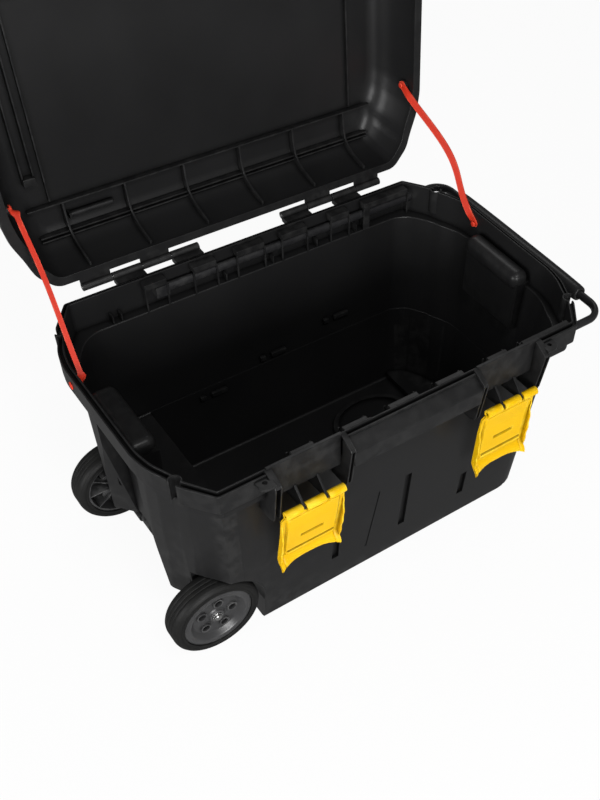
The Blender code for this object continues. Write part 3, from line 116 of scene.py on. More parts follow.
# Hinge and lid
HINGE = Vector((0, 240, RIM))
OPEN_ANGLE = radians(94)
KNUCKLE_START = 75
KNUCKLE_LENGTH = 48.5
LID_HALF_WIDTH = 228
LID_HALF_LENGTH = 354
LID_HEIGHT = 80.5
LID_SEAT = 396.5
LID_WALL = 3.4

# Grooves in the front wall: x, top, bottom
GROOVES = ((-103, 178, 70), (28, 198, 66), (152, 118, 64))

# Round notches where the rim's ends meet its corners
NOTCH = Vector((337, 168, 0))
NOTCH_RADIUS = 7.6

# Handle
ROD_Y = 205.2
ROD_Z = 371
GRIP_X = 381
HOOKS = ((-190, -154), (-108, -68), (-32, 18), (50, 98), (144, 180), (210, 300))

# Straps: how far the right band bows outwards and forwards, a band's place in its CAD box, its eyes' radius
STRAP_BOW = Vector((7, -34))
STRAP_INSET = 1.7
EYE_RADIUS = 6.5

# Camera, with its eye in metres, and its focal length and optical centre in pixels of the picture
PICTURE = Vector((600, 800))
SENSOR = 36
EYE = Vector((-0.6446, -0.9823, 1.3679))
TURN, RISE, ROLL = radians(-41.1168), radians(50.9129), radians(-5.6632)
FOCAL = 1009.4
CENTRE = Vector((413.1, 520.0))


# Node groups


def node_group(name, inputs, outputs):
    """A shader group with float, vector or colour sockets, and its two end nodes."""
    tree = bpy.data.node_groups.new(name, "ShaderNodeTree")
    for label, kind, value in inputs:
        socket = tree.interface.new_socket(name=label, in_out="INPUT", socket_type=kind)
        if value is not None:
            socket.default_value = value
    for label, kind in outputs:
        tree.interface.new_socket(name=label, in_out="OUTPUT", socket_type=kind)
    return tree, tree.nodes.new("NodeGroupInput"), tree.nodes.new("NodeGroupOutput")


def add_node(tree, kind, links=(), **settings):
    """A node with plain settings, then its inputs: a number, a colour or another node's socket."""
    node = tree.nodes.new(kind)
    for key, value in settings.items():
        setattr(node, key, value)
    for key, value in links:
        if isinstance(value, bpy.types.NodeSocket):
            tree.links.new(value, node.inputs[key])
        else:
            node.inputs[key].default_value = value
    return node


def noise(tree, vector, scale, detail=3.0, rough=0.55):
    return add_node(tree, "ShaderNodeTexNoise",
                    [("Vector", vector), ("Scale", scale), ("Detail", detail), ("Roughness", rough)])


def blend_range(tree, value, low, high, to_low=0.0, to_high=1.0):
    return add_node(tree, "ShaderNodeMapRange", [("Value", value), ("From Min", low), ("From Max", high),
                                                ("To Min", to_low), ("To Max", to_high)]).outputs[0]


def mixed(tree, share, first, second, **settings):
    """Two colours mixed by a share."""
    return add_node(tree, "ShaderNodeMix", [(0, share), (6, first), (7, second)], data_type="RGBA",
                    **settings).outputs[2]


def grain_group():
    """Moulded grain: fine pits, soft flow marks, and a slow cloud that varies colour and gloss."""
    tree, start, end = node_group("moulded_grain", [("Vector", "NodeSocketVector", None),
                                                    ("Size", "NodeSocketFloat", 900.0)],
                                  [("Height", "NodeSocketFloat"), ("Cloud", "NodeSocketFloat")])
    pits = noise(tree, start.outputs["Vector"], 900.0, 2.0)
    tree.links.new(start.outputs["Size"], pits.inputs["Scale"])
    flow = noise(tree, start.outputs["Vector"], 35.0, 3.0)
    cloud = noise(tree, start.outputs["Vector"], 6.0, 4.0)
    soft = blend_range(tree, flow.outputs["Fac"], 0.3, 0.7, 0.0, 0.5)
    height = add_node(tree, "ShaderNodeMath", [(0, pits.outputs["Fac"]), (1, soft)], operation="ADD")
    tree.links.new(height.outputs[0], end.inputs["Height"])
    tree.links.new(blend_range(tree, cloud.outputs["Fac"], 0.3, 0.7), end.inputs["Cloud"])
    return tree


def highlight_scuff_group():
    """Painted highlight: a mask that is strongest on convex edges, broken up by noise, where a lighter colour
    stands in for light caught on rounded edges; and a mask of fine scuffs for roughness.
    """
    tree, start, end = node_group("edge_highlight_and_scuffs", [("Vector", "NodeSocketVector", None),
                                                ("Edge", "NodeSocketFloat", 0.5)],
                                  [("Edges", "NodeSocketFloat"), ("Scuffs", "NodeSocketFloat")])
    patch = noise(tree, start.outputs["Vector"], 60.0, 4.0)
    edge = blend_range(tree, start.outputs["Edge"], 0.505, 0.56)
    broken = blend_range(tree, patch.outputs["Fac"], 0.42, 0.62)
    mask = add_node(tree, "ShaderNodeMath", [(0, edge), (1, broken)], operation="MULTIPLY")
    stretch = add_node(tree, "ShaderNodeMapping", [("Vector", start.outputs["Vector"]),
                                                   ("Scale", (40.0, 9.0, 40.0)),
                                                   ("Rotation", (0.3, 0.2, 0.5))])
    streaks = noise(tree, stretch.outputs["Vector"], 5.0, 5.0, 0.7)
    tree.links.new(mask.outputs[0], end.inputs["Edges"])
    tree.links.new(blend_range(tree, streaks.outputs["Fac"], 0.62, 0.72), end.inputs["Scuffs"])
    return tree


GRAIN = grain_group()
HIGHLIGHT_SCUFF_TREE = highlight_scuff_group()
# Painted shade: how far ambient occlusion reaches when it darkens a piece's own grooves and corners.
PAINTED_SHADE_REACH = 9 * MM


def finish(name, base, other, highlight_colour, roughness, grain, depth, scuffs=0.3, metallic=0.0, coat=0.0, level=0.5,
           painted_shade_floor=0.4):
    """A moulded or metal finish: two colours clouded together, a painted highlight on convex edges, painted
    shade in its own grooves and corners, scuffs and a fine grain.

    The last argument is how much of the colour is left where painted shade from the piece's own ambient
    occlusion darkens its grooves and corners."""
    mat = bpy.data.materials.new(name)
    mat.use_nodes = True
    tree = mat.node_tree
    shader = tree.nodes["Principled BSDF"]
    place = add_node(tree, "ShaderNodeTexCoord").outputs["Object"]
    grained = add_node(tree, "ShaderNodeGroup", [("Vector", place), ("Size", grain)], node_tree=GRAIN)
    convex = add_node(tree, "ShaderNodeNewGeometry").outputs["Pointiness"]
    highlight_scuff_node = add_node(tree, "ShaderNodeGroup", [("Vector", place), ("Edge", convex)], node_tree=HIGHLIGHT_SCUFF_TREE)
    colour = mixed(tree, grained.outputs["Cloud"], (*base, 1), (*other, 1))
    # Painted highlight: a lighter colour on convex edges, standing in for light caught along rims and corners.
    edges = mixed(tree, highlight_scuff_node.outputs["Edges"], colour, (*highlight_colour, 1))
    # Painted shade: the piece's own ambient occlusion darkens its base colour in grooves, corners and recesses.
    painted_shade_ao = add_node(tree, "ShaderNodeAmbientOcclusion", [("Distance", PAINTED_SHADE_REACH)], samples=6,
                      only_local=True).outputs["AO"]
    painted_shade = blend_range(tree, painted_shade_ao, 0.55, 0.92, painted_shade_floor, 1.0)
    tree.links.new(mixed(tree, 1.0, edges, painted_shade, blend_type="MULTIPLY"), shader.inputs["Base Color"])
    gloss = blend_range(tree, grained.outputs["Cloud"], 0.0, 1.0, roughness - 0.05, roughness + 0.05)
    scuffed = add_node(tree, "ShaderNodeMath",
                       [(0, highlight_scuff_node.outputs["Scuffs"]), (1, scuffs * 0.5), (2, gloss)],
                       operation="MULTIPLY_ADD")
    tree.links.new(scuffed.outputs[0], shader.inputs["Roughness"])
    bump = add_node(tree, "ShaderNodeBump", [("Strength", 1.0), ("Distance", depth),
                                             ("Height", grained.outputs["Height"])])
    tree.links.new(bump.outputs["Normal"], shader.inputs["Normal"])
    shader.inputs["Metallic"].default_value = metallic
    shader.inputs["Specular IOR Level"].default_value = level
    if coat:
        # Painted shade on the gloss too: the coat fades in the same hollows.
        tree.links.new(blend_range(tree, painted_shade_ao, 0.55, 0.92, 0.0, coat), shader.inputs["Coat Weight"])
        shader.inputs["Coat Roughness"].default_value = 0.3
    return mat


# Each finish: two cloud colours, then the lighter colour painted on convex edges as a highlight, roughness,
# grain size and bump depth.
BLACK = finish("black_moulding", (0.0085, 0.0085, 0.0088), (0.0115, 0.0115, 0.0118), (0.019, 0.019, 0.019),
               0.42, 1100.0, 0.00006, coat=0.22, level=0.16)
DARK = finish("black_rod", (0.011, 0.011, 0.012), (0.015, 0.015, 0.016), (0.03, 0.03, 0.03),
              0.36, 900.0, 0.00003, level=0.25)
YELLOW = finish("yellow_moulding", (0.74, 0.44, 0.002), (0.70, 0.40, 0.0015), (0.82, 0.56, 0.03),
                0.40, 900.0, 0.00003, 0.2, level=0.16)
RED = finish("red_moulding", (0.60, 0.036, 0.016), (0.54, 0.030, 0.013), (0.70, 0.09, 0.05),
             0.38, 800.0, 0.00003, 0.2, level=0.16)
GREY = finish("grey_hub", (0.030, 0.030, 0.031), (0.040, 0.040, 0.041), (0.11, 0.11, 0.11),
              0.34, 900.0, 0.00004)
RUBBER = finish("tyre_rubber", (0.005, 0.005, 0.005), (0.009, 0.009, 0.0085), (0.02, 0.02, 0.019),
                0.55, 500.0, 0.00010, 0.5, level=0.22)
OXIDE = finish("black_steel", (0.035, 0.035, 0.036), (0.05, 0.05, 0.05), (0.16, 0.16, 0.16),
               0.34, 700.0, 0.00003, 0.4, metallic=0.8)
STEEL = finish("bright_steel", (0.62, 0.62, 0.61), (0.52, 0.52, 0.51), (0.75, 0.75, 0.74),
               0.24, 600.0, 0.00002, 0.4, metallic=1.0)


# Shapes


def as_mesh(bm, name):
    mesh = bpy.data.meshes.new(name)
    bm.to_mesh(mesh)
    bm.free()
    return mesh


def as_object(name, data):
    """Puts a mesh, a light or a camera into the scene."""
    obj = bpy.data.objects.new(name, data)
    bpy.context.scene.collection.objects.link(obj)
    return obj


def face_out(bm):
    bmesh.ops.recalc_face_normals(bm, faces=bm.faces)


def move(bm, place):
    bmesh.ops.transform(bm, matrix=place, verts=bm.verts)


def join(bm, part, place=None):
    """Adds one bmesh to another, moved by a matrix if one is given."""
    if place is not None:
        move(part, place)
    mesh = as_mesh(part, "joined")
    bm.from_mesh(mesh)
    bpy.data.meshes.remove(mesh)


def round_off(bm, geom, width, segments, affect, clamp=True):
    bmesh.ops.bevel(bm, geom=geom, offset=width, offset_type="OFFSET", segments=segments, profile=0.5,
                    affect=affect, clamp_overlap=clamp, material=-1)


def soften(bm, edges, width, segments=2):
    round_off(bm, list(edges), width, segments, "EDGES")


def crease_edges(bm, angle=25):
    """Edges whose faces meet at more than an angle."""
    return [e for e in bm.edges if len(e.link_faces) == 2 and e.calc_face_angle(0) > radians(angle)]


def block(bm, low, high, soft=0.6, segments=2, place=None):
    """A box between two corners, with softened edges."""
    part = bmesh.new()
    size = [abs(b - a) for a, b in zip(low, high)]
    centre = [(a + b) / 2 for a, b in zip(low, high)]
    bmesh.ops.create_cube(part, size=1, matrix=Matrix.LocRotScale(centre, None, size))
    if soft:
        soften(part, part.edges, soft, segments)
    join(bm, part, place)


def span(side, near, far):
    """Two distances from the middle as a low and a high value on one side of it."""
    return sorted((side * near, side * far))


def side_block(bm, side, x, y, z, soft=0.6):
    """A block on one side of the middle, by its spans along x, away from the middle, and up."""
    low, high = span(side, *y)
    block(bm, (x[0], low, z[0]), (x[1], high, z[1]), soft)


def pillow(bm, low, high):
    """A soft rounded bar between two corners."""
    block(bm, low, high, min(b - a for a, b in zip(low, high)) * 0.42, 5)


def axis_turn(axis):
    return {"X": Matrix.Rotation(pi / 2, 4, "Y"), "Y": Matrix.Rotation(pi / 2, 4, "X"), "Z": Matrix()}[axis]


def rod(bm, centre, axis, radius, length, soft=0.4, steps=40):
    """A round bar about an axis, its end rims softened."""
    part = bmesh.new()
    bmesh.ops.create_cone(part, cap_ends=True, segments=steps, radius1=radius, radius2=radius, depth=length)
    if soft:
        soften(part, [e for e in part.edges if any(len(f.verts) > 4 for f in e.link_faces)], soft)
    join(bm, part, Matrix.Translation(centre) @ axis_turn(axis))


def prism(loops):
    """A closed form between two outlines given as points."""
    part = bmesh.new()
    low, high = [part.faces.new([part.verts.new(point) for point in loop]) for loop in loops]
    bmesh.ops.bridge_loops(part, edges=low.edges[:] + high.edges[:])
    face_out(part)
    return part


def bridged(bm, loops):
    """Joins each ring of edges to the next one, and closes both ends."""
    for low, high in zip(loops, loops[1:]):
        bmesh.ops.bridge_loops(bm, edges=low + high)
    for loop in (loops[0], loops[-1]):
        bmesh.ops.contextual_create(bm, geom=loop)
    face_out(bm)


def cut_off(bm, place, facing):
    """Takes away what lies past a plane, on the side that it faces, and closes the cut."""
    bmesh.ops.bisect_plane(bm, geom=bm.verts[:] + bm.edges[:] + bm.faces[:], plane_co=place, plane_no=facing,
                           clear_outer=True)
    bmesh.ops.holes_fill(bm, edges=[e for e in bm.edges if e.is_boundary])
    face_out(bm)


def plate(bm, low_x, high_x, points, soft=0.5, segments=2):
    """A plate between two x values, with its outline given as (y, z) points."""
    part = bmesh.new()
    face = part.faces.new([part.verts.new((low_x, y, z)) for y, z in points])
    made = bmesh.ops.extrude_face_region(part, geom=[face])
    bmesh.ops.translate(part, verts=[v for v in made["geom"] if isinstance(v, bmesh.types.BMVert)],
                        vec=(high_x - low_x, 0, 0))
    face_out(part)
    if soft:
        soften(part, crease_edges(part), soft, segments)
    join(bm, part)


def turned(bm, profile, place, steps=64, soft=0.5):
    """A closed (radius, height) profile with softened corners, turned about Z and then placed."""
    part = bmesh.new()
    verts = [part.verts.new((radius, 0, height)) for radius, height in profile]
    part.faces.new(verts)
    if soft:
        round_off(part, [v for v in verts if v.co.x > 1e-6], soft, 2, "VERTICES")
    bmesh.ops.delete(part, geom=part.faces[:], context="FACES_ONLY")
    on_axis = [e for e in part.edges if all(v.co.x < 1e-6 for v in e.verts)]
    bmesh.ops.delete(part, geom=on_axis, context="EDGES")
    bmesh.ops.spin(part, geom=part.verts[:] + part.edges[:], cent=(0, 0, 0), axis=(0, 0, 1), angle=2 * pi,
                   steps=steps, use_merge=True)
    bmesh.ops.remove_doubles(part, verts=part.verts, dist=1e-3)
    face_out(part)
    join(bm, part, place)


def sweep(bm, points, section, steps=12):
    """A closed bar of oval section (half across, half up), led along points that lie in one level plane."""
    part = bmesh.new()
    loops = []
    for number, point in enumerate(points):
        before, after = points[max(number - 1, 0)], points[min(number + 1, len(points) - 1)]
        along = (Vector(after) - Vector(before)).normalized()
        across = Vector((along.y, -along.x, 0))
        made = bmesh.ops.create_circle(part, segments=steps, radius=1)
        turn = Matrix((across * section[0], Vector((0, 0, section[1])), along)).transposed().to_4x4()
        bmesh.ops.transform(part, matrix=Matrix.Translation(point) @ turn, verts=made["verts"])
        loops.append(list({e for v in made["verts"] for e in v.link_edges}))
    bridged(part, loops)
    join(bm, part)


def carve(bm, cutters, operation="DIFFERENCE"):
    """Cuts closed forms from a bmesh, or adds them to it, one after another, and gives the result."""
    for form in cutters:
        target, tool = as_object("carved", as_mesh(bm, "carved")), as_object("tool", as_mesh(form, "tool"))
        mod = target.modifiers.new("cut", "BOOLEAN")
        mod.operation = operation
        mod.solver = "EXACT"
        mod.object = tool
        bpy.context.view_layer.update()
        mesh = bpy.data.meshes.new_from_object(target.evaluated_get(bpy.context.evaluated_depsgraph_get()))
        bm = bmesh.new()
        bm.from_mesh(mesh)
        bpy.data.meshes.remove(mesh)
        bpy.data.objects.remove(tool)
        bpy.data.objects.remove(target)
    return bm


def cutter(fill, *args):
    """A bmesh filled by one call, for carve."""
    bm = bmesh.new()
    fill(bm, *args)
    return bm


def piece(name, bm, material, body, replaced=(), sharp=35, weighted=False):
    """A finished piece: smooth with sharp creases, riding on its body and standing for CAD nodes."""
    bmesh.ops.scale(bm, vec=(MM, MM, MM), verts=bm.verts)
    mesh = as_mesh(bm, name)
    mesh.polygons.foreach_set("use_smooth", [True] * len(mesh.polygons))
    mesh.set_sharp_from_angle(angle=radians(sharp))
    obj = as_object(name, mesh)
    mesh.materials.append(material)
    if weighted:
        mod = obj.modifiers.new("flat_faces", "WEIGHTED_NORMAL")
        mod.keep_sharp = True
        mod.weight = 80
    if body:
        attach(obj, body)
    if replaced:
        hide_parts(*replaced)
    return obj


# Outlines in plan, from the rear right round anticlockwise


def outline(half_length, half_width, straight, chamfer_x, chamfer_y):
    end = [(half_length - back * half_length, (half_width - chamfer_y) * (1 - along)) for back, along in BOW]
    corner = [(straight, half_width), (straight + chamfer_x, half_width - chamfer_y)] + end
    return (corner[::-1] + [(-x, y) for x, y in corner] + [(-x, -y) for x, y in corner[::-1]]
            + [(x, -y) for x, y in corner])


def rim_outline(inset):
    slope = inset * (sqrt(2) - 1)
    return outline(HALF_LENGTH - inset, HALF_WIDTH - inset, STRAIGHT - slope, CHAMFER.x - inset + slope,
                   CHAMFER.y - slope)


def wall_y(height):
    return 175 + 25 * height / WALL_TOP


def wall_x(height):
    return 330 + 20 * height / WALL_TOP


def wall_outline(height, inset):
    half_width, half_length = wall_y(height) - inset, wall_x(height) - inset
    straight = STRAIGHT - (HALF_WIDTH - half_width) / 2 - inset / 2
    chamfer_x = (half_length - straight) * CHAMFER.x / (HALF_LENGTH - STRAIGHT)
    return outline(half_length, half_width, straight, chamfer_x, CHAMFER.y)


def lid_outline(inset):
    slope = inset * (sqrt(2) - 1)
    return outline(LID_HALF_LENGTH - inset, LID_HALF_WIDTH - inset, 302 - slope, 26 - inset / 3, 28)


def ring(bm, points, height, straight, chamfer, bow):
    """A level loop of edges whose corners are rounded by three lengths."""
    before = set(bm.edges)
    verts = [bm.verts.new((x, y, height)) for x, y in points]
    bm.faces.new(verts)
    for role, offset, segments in (("straight", straight, 4), ("chamfer", chamfer, 4), ("bow", bow, 3)):
        chosen = [v for v, r in zip(verts, ROLES) if r == role]
        round_off(bm, chosen, offset, segments, "VERTICES", False)
    made = [e for e in bm.edges if e not in before]
    bmesh.ops.delete(bm, geom=list({f for e in made for f in e.link_faces}), context="FACES_ONLY")
    return made


def shell(levels):
    """A closed skin through rings, some of them softened; each level is (outline, height, roundings, soft).

    Every second ring is lifted a hair, so that level pairs are bridged the right way round."""
    bm = bmesh.new()
    loops = [ring(bm, points, height + number % 2 * HAIR, *rounding)
             for number, (points, height, rounding, soft) in enumerate(levels)]
    bridged(bm, loops)
    for loop, level in zip(loops, levels):
        if level[3]:
            soften(bm, [e for e in loop if e.is_valid], level[3], 3)
    face_out(bm)
    return bm


# Tub


CRISP = (3, 3, 9)
COLUMN = (24, 8, 6)
MIXED = (8, 6, 9)


def tub_shell():
    bottom = RIM - SKIRT
    inner = LIP + GROOVE
    return shell([
        (wall_outline(0, 9), 0, COLUMN, 0),
        (wall_outline(3, 2.8), 3, COLUMN, 0),
        (wall_outline(10, 0), 10, COLUMN, 0),
        (wall_outline(WALL_TOP, 0), WALL_TOP, COLUMN, 0),
        (rim_outline(SKIRT_STEP), WALL_TOP, MIXED, 0),
        (rim_outline(SKIRT_STEP), bottom, MIXED, 0),
        (rim_outline(0), bottom, CRISP, 1.2),
        (rim_outline(0), RIM - 2.5, CRISP, 0.8),
        (rim_outline(LIP), RIM - 2.5, CRISP, 0.6),
        (rim_outline(LIP), RIM - 7, CRISP, 0),
        (rim_outline(inner), RIM - 7, CRISP, 0),
        (rim_outline(inner), RIM, CRISP, 0.7),
        (rim_outline(inner + LIP), RIM, CRISP, 0.8),
        (rim_outline(inner + LIP), LEDGE, CRISP, 0),
        (wall_outline(LEDGE, WALL), LEDGE, COLUMN, 2),
        (wall_outline(END_FLOOR, WALL), END_FLOOR, COLUMN, 4),
    ])


def deep_cavity():
    """The deep part of the inside, with a rounded foot."""
    bm = bmesh.new()
    loops = [ring(bm, wall_outline(height, WALL + 0.8), height, *COLUMN) for height in (FLOOR, END_FLOOR + 2)]
    bridged(bm, loops)
    soften(bm, [e for e in loops[0] if e.is_valid], 6, 3)
    cut_off(bm, (DEEP_START, 0, 0), (-1, 0, 0))
    return bm


def both_sides(fill):
    """Fills one bmesh with a form at each side, -1 and 1."""
    bm = bmesh.new()
    for side in (-1, 1):
        fill(bm, side)
    return bm


def wheel_well(bm, side):
    centre = (WHEEL.x, side * (WELL_INNER + HALF_WIDTH) / 2, WHEEL.z)
    rod(bm, centre, "Y", ARCH, HALF_WIDTH - WELL_INNER, 0, 72)


def wheel_opening(bm, side):
    turn = radians(12)
    side_block(bm, side, (-HALF_LENGTH, WHEEL.x + ARCH * cos(turn)), (WELL_INNER, HALF_WIDTH),
               (-2, WHEEL.z + ARCH * sin(turn)), 0)


def post_hollow(bm, side):
    side_block(bm, side, (-327, -312), (92, BAY_HALF), (-2, 151), 0)


def across_latch(bm, side, half, low, high, soft=0.8):
    """A block centred on a latch, between two (y, z) corners."""
    block(bm, (side * LATCH_X - half, *low), (side * LATCH_X + half, *high), soft)


def latch_pocket(bm, side):
    across_latch(bm, side, POCKET_HALF, (-HALF_WIDTH - 2, 330), (POCKET_BACK, RIM + 2), 0)


def corner_notch(bm, side):
    for end in (-1, 1):
        rod(bm, (end * NOTCH.x, side * NOTCH.y, RIM - 18.5), "Z", NOTCH_RADIUS, 41, 0, 32)


def notch_liners(bm):
    """A curved lip round the inner side of each corner notch."""
    outer, foot = NOTCH_RADIUS + THIN, RIM - 41
    for end in (-1, 1):
        for side in (-1, 1):
            part = bmesh.new()
            turned(part, [(NOTCH_RADIUS, foot), (NOTCH_RADIUS, RIM), (outer, RIM), (outer, foot)],
                   Matrix(), 40, 0.6)
            outward = Vector((end * 0.55, side * 0.83, 0))
            cut_off(part, outward * 2, outward)
            join(bm, part, Matrix.Translation((end * NOTCH.x, side * NOTCH.y, 0)))


def rod_hole(bm, side):
    part = bmesh.new()
    rod(part, (290, side * ROD_Y, 0), "X", 6.3, 160, 0, 24)
    bmesh.ops.scale(part, vec=(1, 1, 1.3), verts=part.verts)
    join(bm, part, Matrix.Translation((0, 0, ROD_Z)))


def front_groove(bm, x, top, bottom, depth=5.5, wide=16):
    """A deep upright groove in the front wall, its floor falling away to the right."""
    left, right, outside = x - wide / 2, x + wide / 2, -20
    points = [(left, outside), (right, outside), (right, depth), (left + 4, depth * 0.8)]
    join(bm, prism([[(a, b - wall_y(height), height) for a, b in points] for height in (bottom, top)]))


def groove_backs(bm):
    """Thicker wall inside, behind each groove of the front wall."""
    for x, top, bottom in GROOVES:
        side_view = [(1.2 - wall_y(top + 5), top + 5), (9 - wall_y(top), top + 2),
                     (9 - wall_y(bottom), bottom - 3), (1.2 - wall_y(bottom - 6), bottom - 6)]
        plate(bm, x - 11, x + 11, side_view, 0)


def panel_line(bm):
    """The slanted edge of the front wall's shallow field."""
    points = [(-43, 56), (-39.5, 56), (-24, 192), (-27.5, 192)]
    join(bm, prism([[(x, y - wall_y(z), z) for x, z in points] for y in (-9, 0.9)]))


def foot_steps(bm):
    """The base rises at its right end, and has two shallow nicks along each side."""
    block(bm, (262, -HALF_WIDTH, -2), (HALF_LENGTH, HALF_WIDTH, 12), 0)
    for x in (-130, 175):
        for side in (-1, 1):
            side_block(bm, side, (x - 7, x + 7), (171.5, HALF_WIDTH), (-2, 2.6), 0)


def raised_floor(bm):
    """The floor inside, over the base's raised right end."""
    part = bmesh.new()
    levels = ((5, 3), (16, 2))
    bridged(part, [ring(part, wall_outline(height, inset), height, *COLUMN) for height, inset in levels])
    cut_off(part, (255, 0, 0), (-1, 0, 0))
    join(bm, part)


def humps(bm):
    """Rounded humps inside the end walls, behind the recesses outside."""
    for side, inner, low in ((-1, 315, 154), (1, 327, 259)):
        part = bmesh.new()
        bmesh.ops.create_cube(part, size=1)
        for vert in part.verts:
            vert.co.z = WALL_TOP + 1.5 if vert.co.z > 0 else low
            vert.co.y *= 130
            vert.co.x = side * (wall_x(vert.co.z) - 1.5 if vert.co.x > 0 else inner)
        soften(part, [e for e in part.edges if all(abs(v.co.x) < 330 for v in e.verts)], 4, 3)
        face_out(part)
        join(bm, part)


def hump_tops(bm):
    for side, inner in ((-1, 315), (1, 327)):
        low, high = span(side, inner, HALF_LENGTH - SKIRT_STEP - 1.5)
        block(bm, (low, -65, 340.5), (high, 65, 352), 0)


def end_recess(bm, side):
    """The recess in an end wall; at the wheel end its sides flare towards the feet of the posts."""
    inner, foot, flare = (318, 80, 56) if side < 0 else (330, 262, 0)
    low, high = span(side, inner, HALF_LENGTH)
    part = cutter(block, (low, -RECESS_HALF, foot), (high, RECESS_HALF, RECESS_TOP), 0)
    for vert in part.verts:
        if vert.co.z < 100 and vert.co.x < -330:
            vert.co.y += flare * (1 if vert.co.y > 0 else -1)
    bmesh.ops.triangulate(part, faces=part.faces)
    join(bm, part)


def upright_end(bm):
    """The wheel end's wall stands upright outside, round both posts, while the inside slopes."""
    start, loops = -250, []
    for height in (POST_FOOT, 338):
        half = wall_y(height) - 0.4
        inner = half - 1.8
        straight = STRAIGHT - (HALF_WIDTH - half) / 2
        reach = (END_FACE - straight) * CHAMFER.x / (HALF_LENGTH - STRAIGHT)
        outside = [p for p in outline(END_FACE, half, straight, reach, CHAMFER.y) if p[0] < start]
        inside = [p for p in wall_outline(height, 2.2) if p[0] < start]
        points = ([(start, -half)] + sorted(outside, key=lambda p: p[1]) + [(start, half), (start, inner)]
                  + sorted(inside, key=lambda p: -p[1]) + [(start, -inner)])
        loops.append([(x, y, height) for x, y in points])
    part = prism(loops)
    faced = {v for number, v in enumerate(part.verts) if 2 <= number % len(points) < len(outside)}
    soften(part, [e for e in part.edges if e.calc_length() > 200 and set(e.verts) <= faced], 3, 3)
    join(bm, part)


def cut_tub():
    bm = carve(tub_shell(), [deep_cavity()])
    added = (humps, hump_tops, upright_end, groove_backs, raised_floor)
    bm = carve(bm, [cutter(fill) for fill in added], "UNION")
    holes = [
        both_sides(end_recess),
        cutter(block, (-315, -BAY_HALF, -2), (BAY_END, BAY_HALF, 154), 0),
        both_sides(post_hollow),
        both_sides(wheel_well),
        both_sides(wheel_opening),
        cutter(block, (-HALF_LENGTH, -HALF_WIDTH, -2), (BAY_END, HALF_WIDTH, POST_FOOT), 0),
        cutter(block, (-HALF_LENGTH, -RECESS_HALF, -2), (-312, RECESS_HALF, 95), 0),
        both_sides(latch_pocket),
        both_sides(corner_notch),
        both_sides(rod_hole),
        cutter(panel_line),
        cutter(foot_steps),
    ]
    return carve(bm, holes + [cutter(front_groove, *groove) for groove in GROOVES])


def pocket_plates(bm):
    """The wall behind each latch, flush with the inner lip."""
    for side in (-1, 1):
        across_latch(bm, side, POCKET_HALF + THIN, (POCKET_BACK - 0.5, 338), (POCKET_BACK + 4.8, RIM + 2))


def cheeks(bm):
    """Pairs of upright plates beside each latch, leaning back to the wall at their feet, capped at the rim."""
    side_view = [(-243.5, 382), (-241.5, 385), (-222, 394.6), (-214, 395.8), (-214, 343.5), (-198, 343.5),
                 (-195.7, 303), (-222, 303), (-232, 308.5), (-234.5, 314)]
    cap = [(-243, 380), (-241.2, 384.4), (-222, 394.9), (-215, 396.2), (-215, 388), (-222, 388)]
    for latch in (-1, 1):
        for side in (-1, 1):
            gap, apart = (POCKET_HALF, 6.4) if side == -latch else (POCKET_HALF - 5.5, 8.6)
            for near in (gap, gap + apart):
                plate(bm, *[latch * LATCH_X + x for x in span(side, near, near + THIN)], side_view, 0.7)
            plate(bm, *[latch * LATCH_X + x for x in span(side, gap + 0.4, gap + apart + 2)], cap, 0.8)


def fins(bm):
    """Two thin fins in each pocket, from the wall to the latch's pin."""
    points = [(-239, 313.4), (-243, 315.5), (-243.6, 319), (-240, 322.4), (-219, 342.5), (-214, 344),
              (-198.5, 343.5), (-196.5, 309)]
    for latch in (-1, 1):
        for side in (-1, 1):
            x = latch * LATCH_X + side * FIN_OFFSET
            plate(bm, x - 1.9, x + 1.9, points, 0.6)


def front_band(bm):
    """The stiff band between the latches, with a sloping top."""
    end = LATCH_X - POCKET_HALF - 8
    plate(bm, -end, end, [(-214, 389), (-222, 388.5), (-240.5, 377),
                          (-241.5, 374.5), (-241.5, 349), (-214, 349)], 1, 3)


def padlock_tabs(bm):
    """A flat ear with a hole beside each latch, rounded at its outer corner."""
    ears, middle = bmesh.new(), 243
    for side in (-1, 1):
        ear = cutter(block, (side * middle - 11, -241.5, 385), (side * middle + 11, -220.5, 390), 0)
        corner = [e for e in ear.edges if all(v.co.y < -235 and abs(v.co.x) > 250 for v in e.verts)]
        soften(ear, corner, 10, 8)
        soften(ear, crease_edges(ear, 60), 0.7)
        join(ears, ear)
    holes = both_sides(lambda part, side: rod(part, (side * middle, -230, 386), "Z", 3.6, 20, 0, 24))
    join(bm, carve(ears, [holes]))


def knuckle_spans(lid):
    spans = []
    for number in range(4):
        if (number % 2 == 1) == lid:
            start = KNUCKLE_START + number * KNUCKLE_LENGTH
            spans.append((start + 0.5, start + KNUCKLE_LENGTH - 0.5))
    return spans + [(-b, -a) for a, b in spans]


def knuckle(bm, start, end):
    """A hinge knuckle with its pin hole."""
    turned(bm, [(2.3, start), (6, start), (6, end), (2.3, end)],
           Matrix.Translation(HINGE) @ axis_turn("X"), 32, 0.5)


def tub_hinge(bm):
    for start, end in knuckle_spans(False):
        knuckle(bm, start, end)
        plate(bm, start, end, [(-LIP / 2 + HALF_WIDTH, 385.5), (HINGE.y - 2, 385.5),
                               (HINGE.y - 0.5, 391), (HINGE.y - 5, 394.5),
                               (HALF_WIDTH - LIP / 2, 394.5)], 0.8)


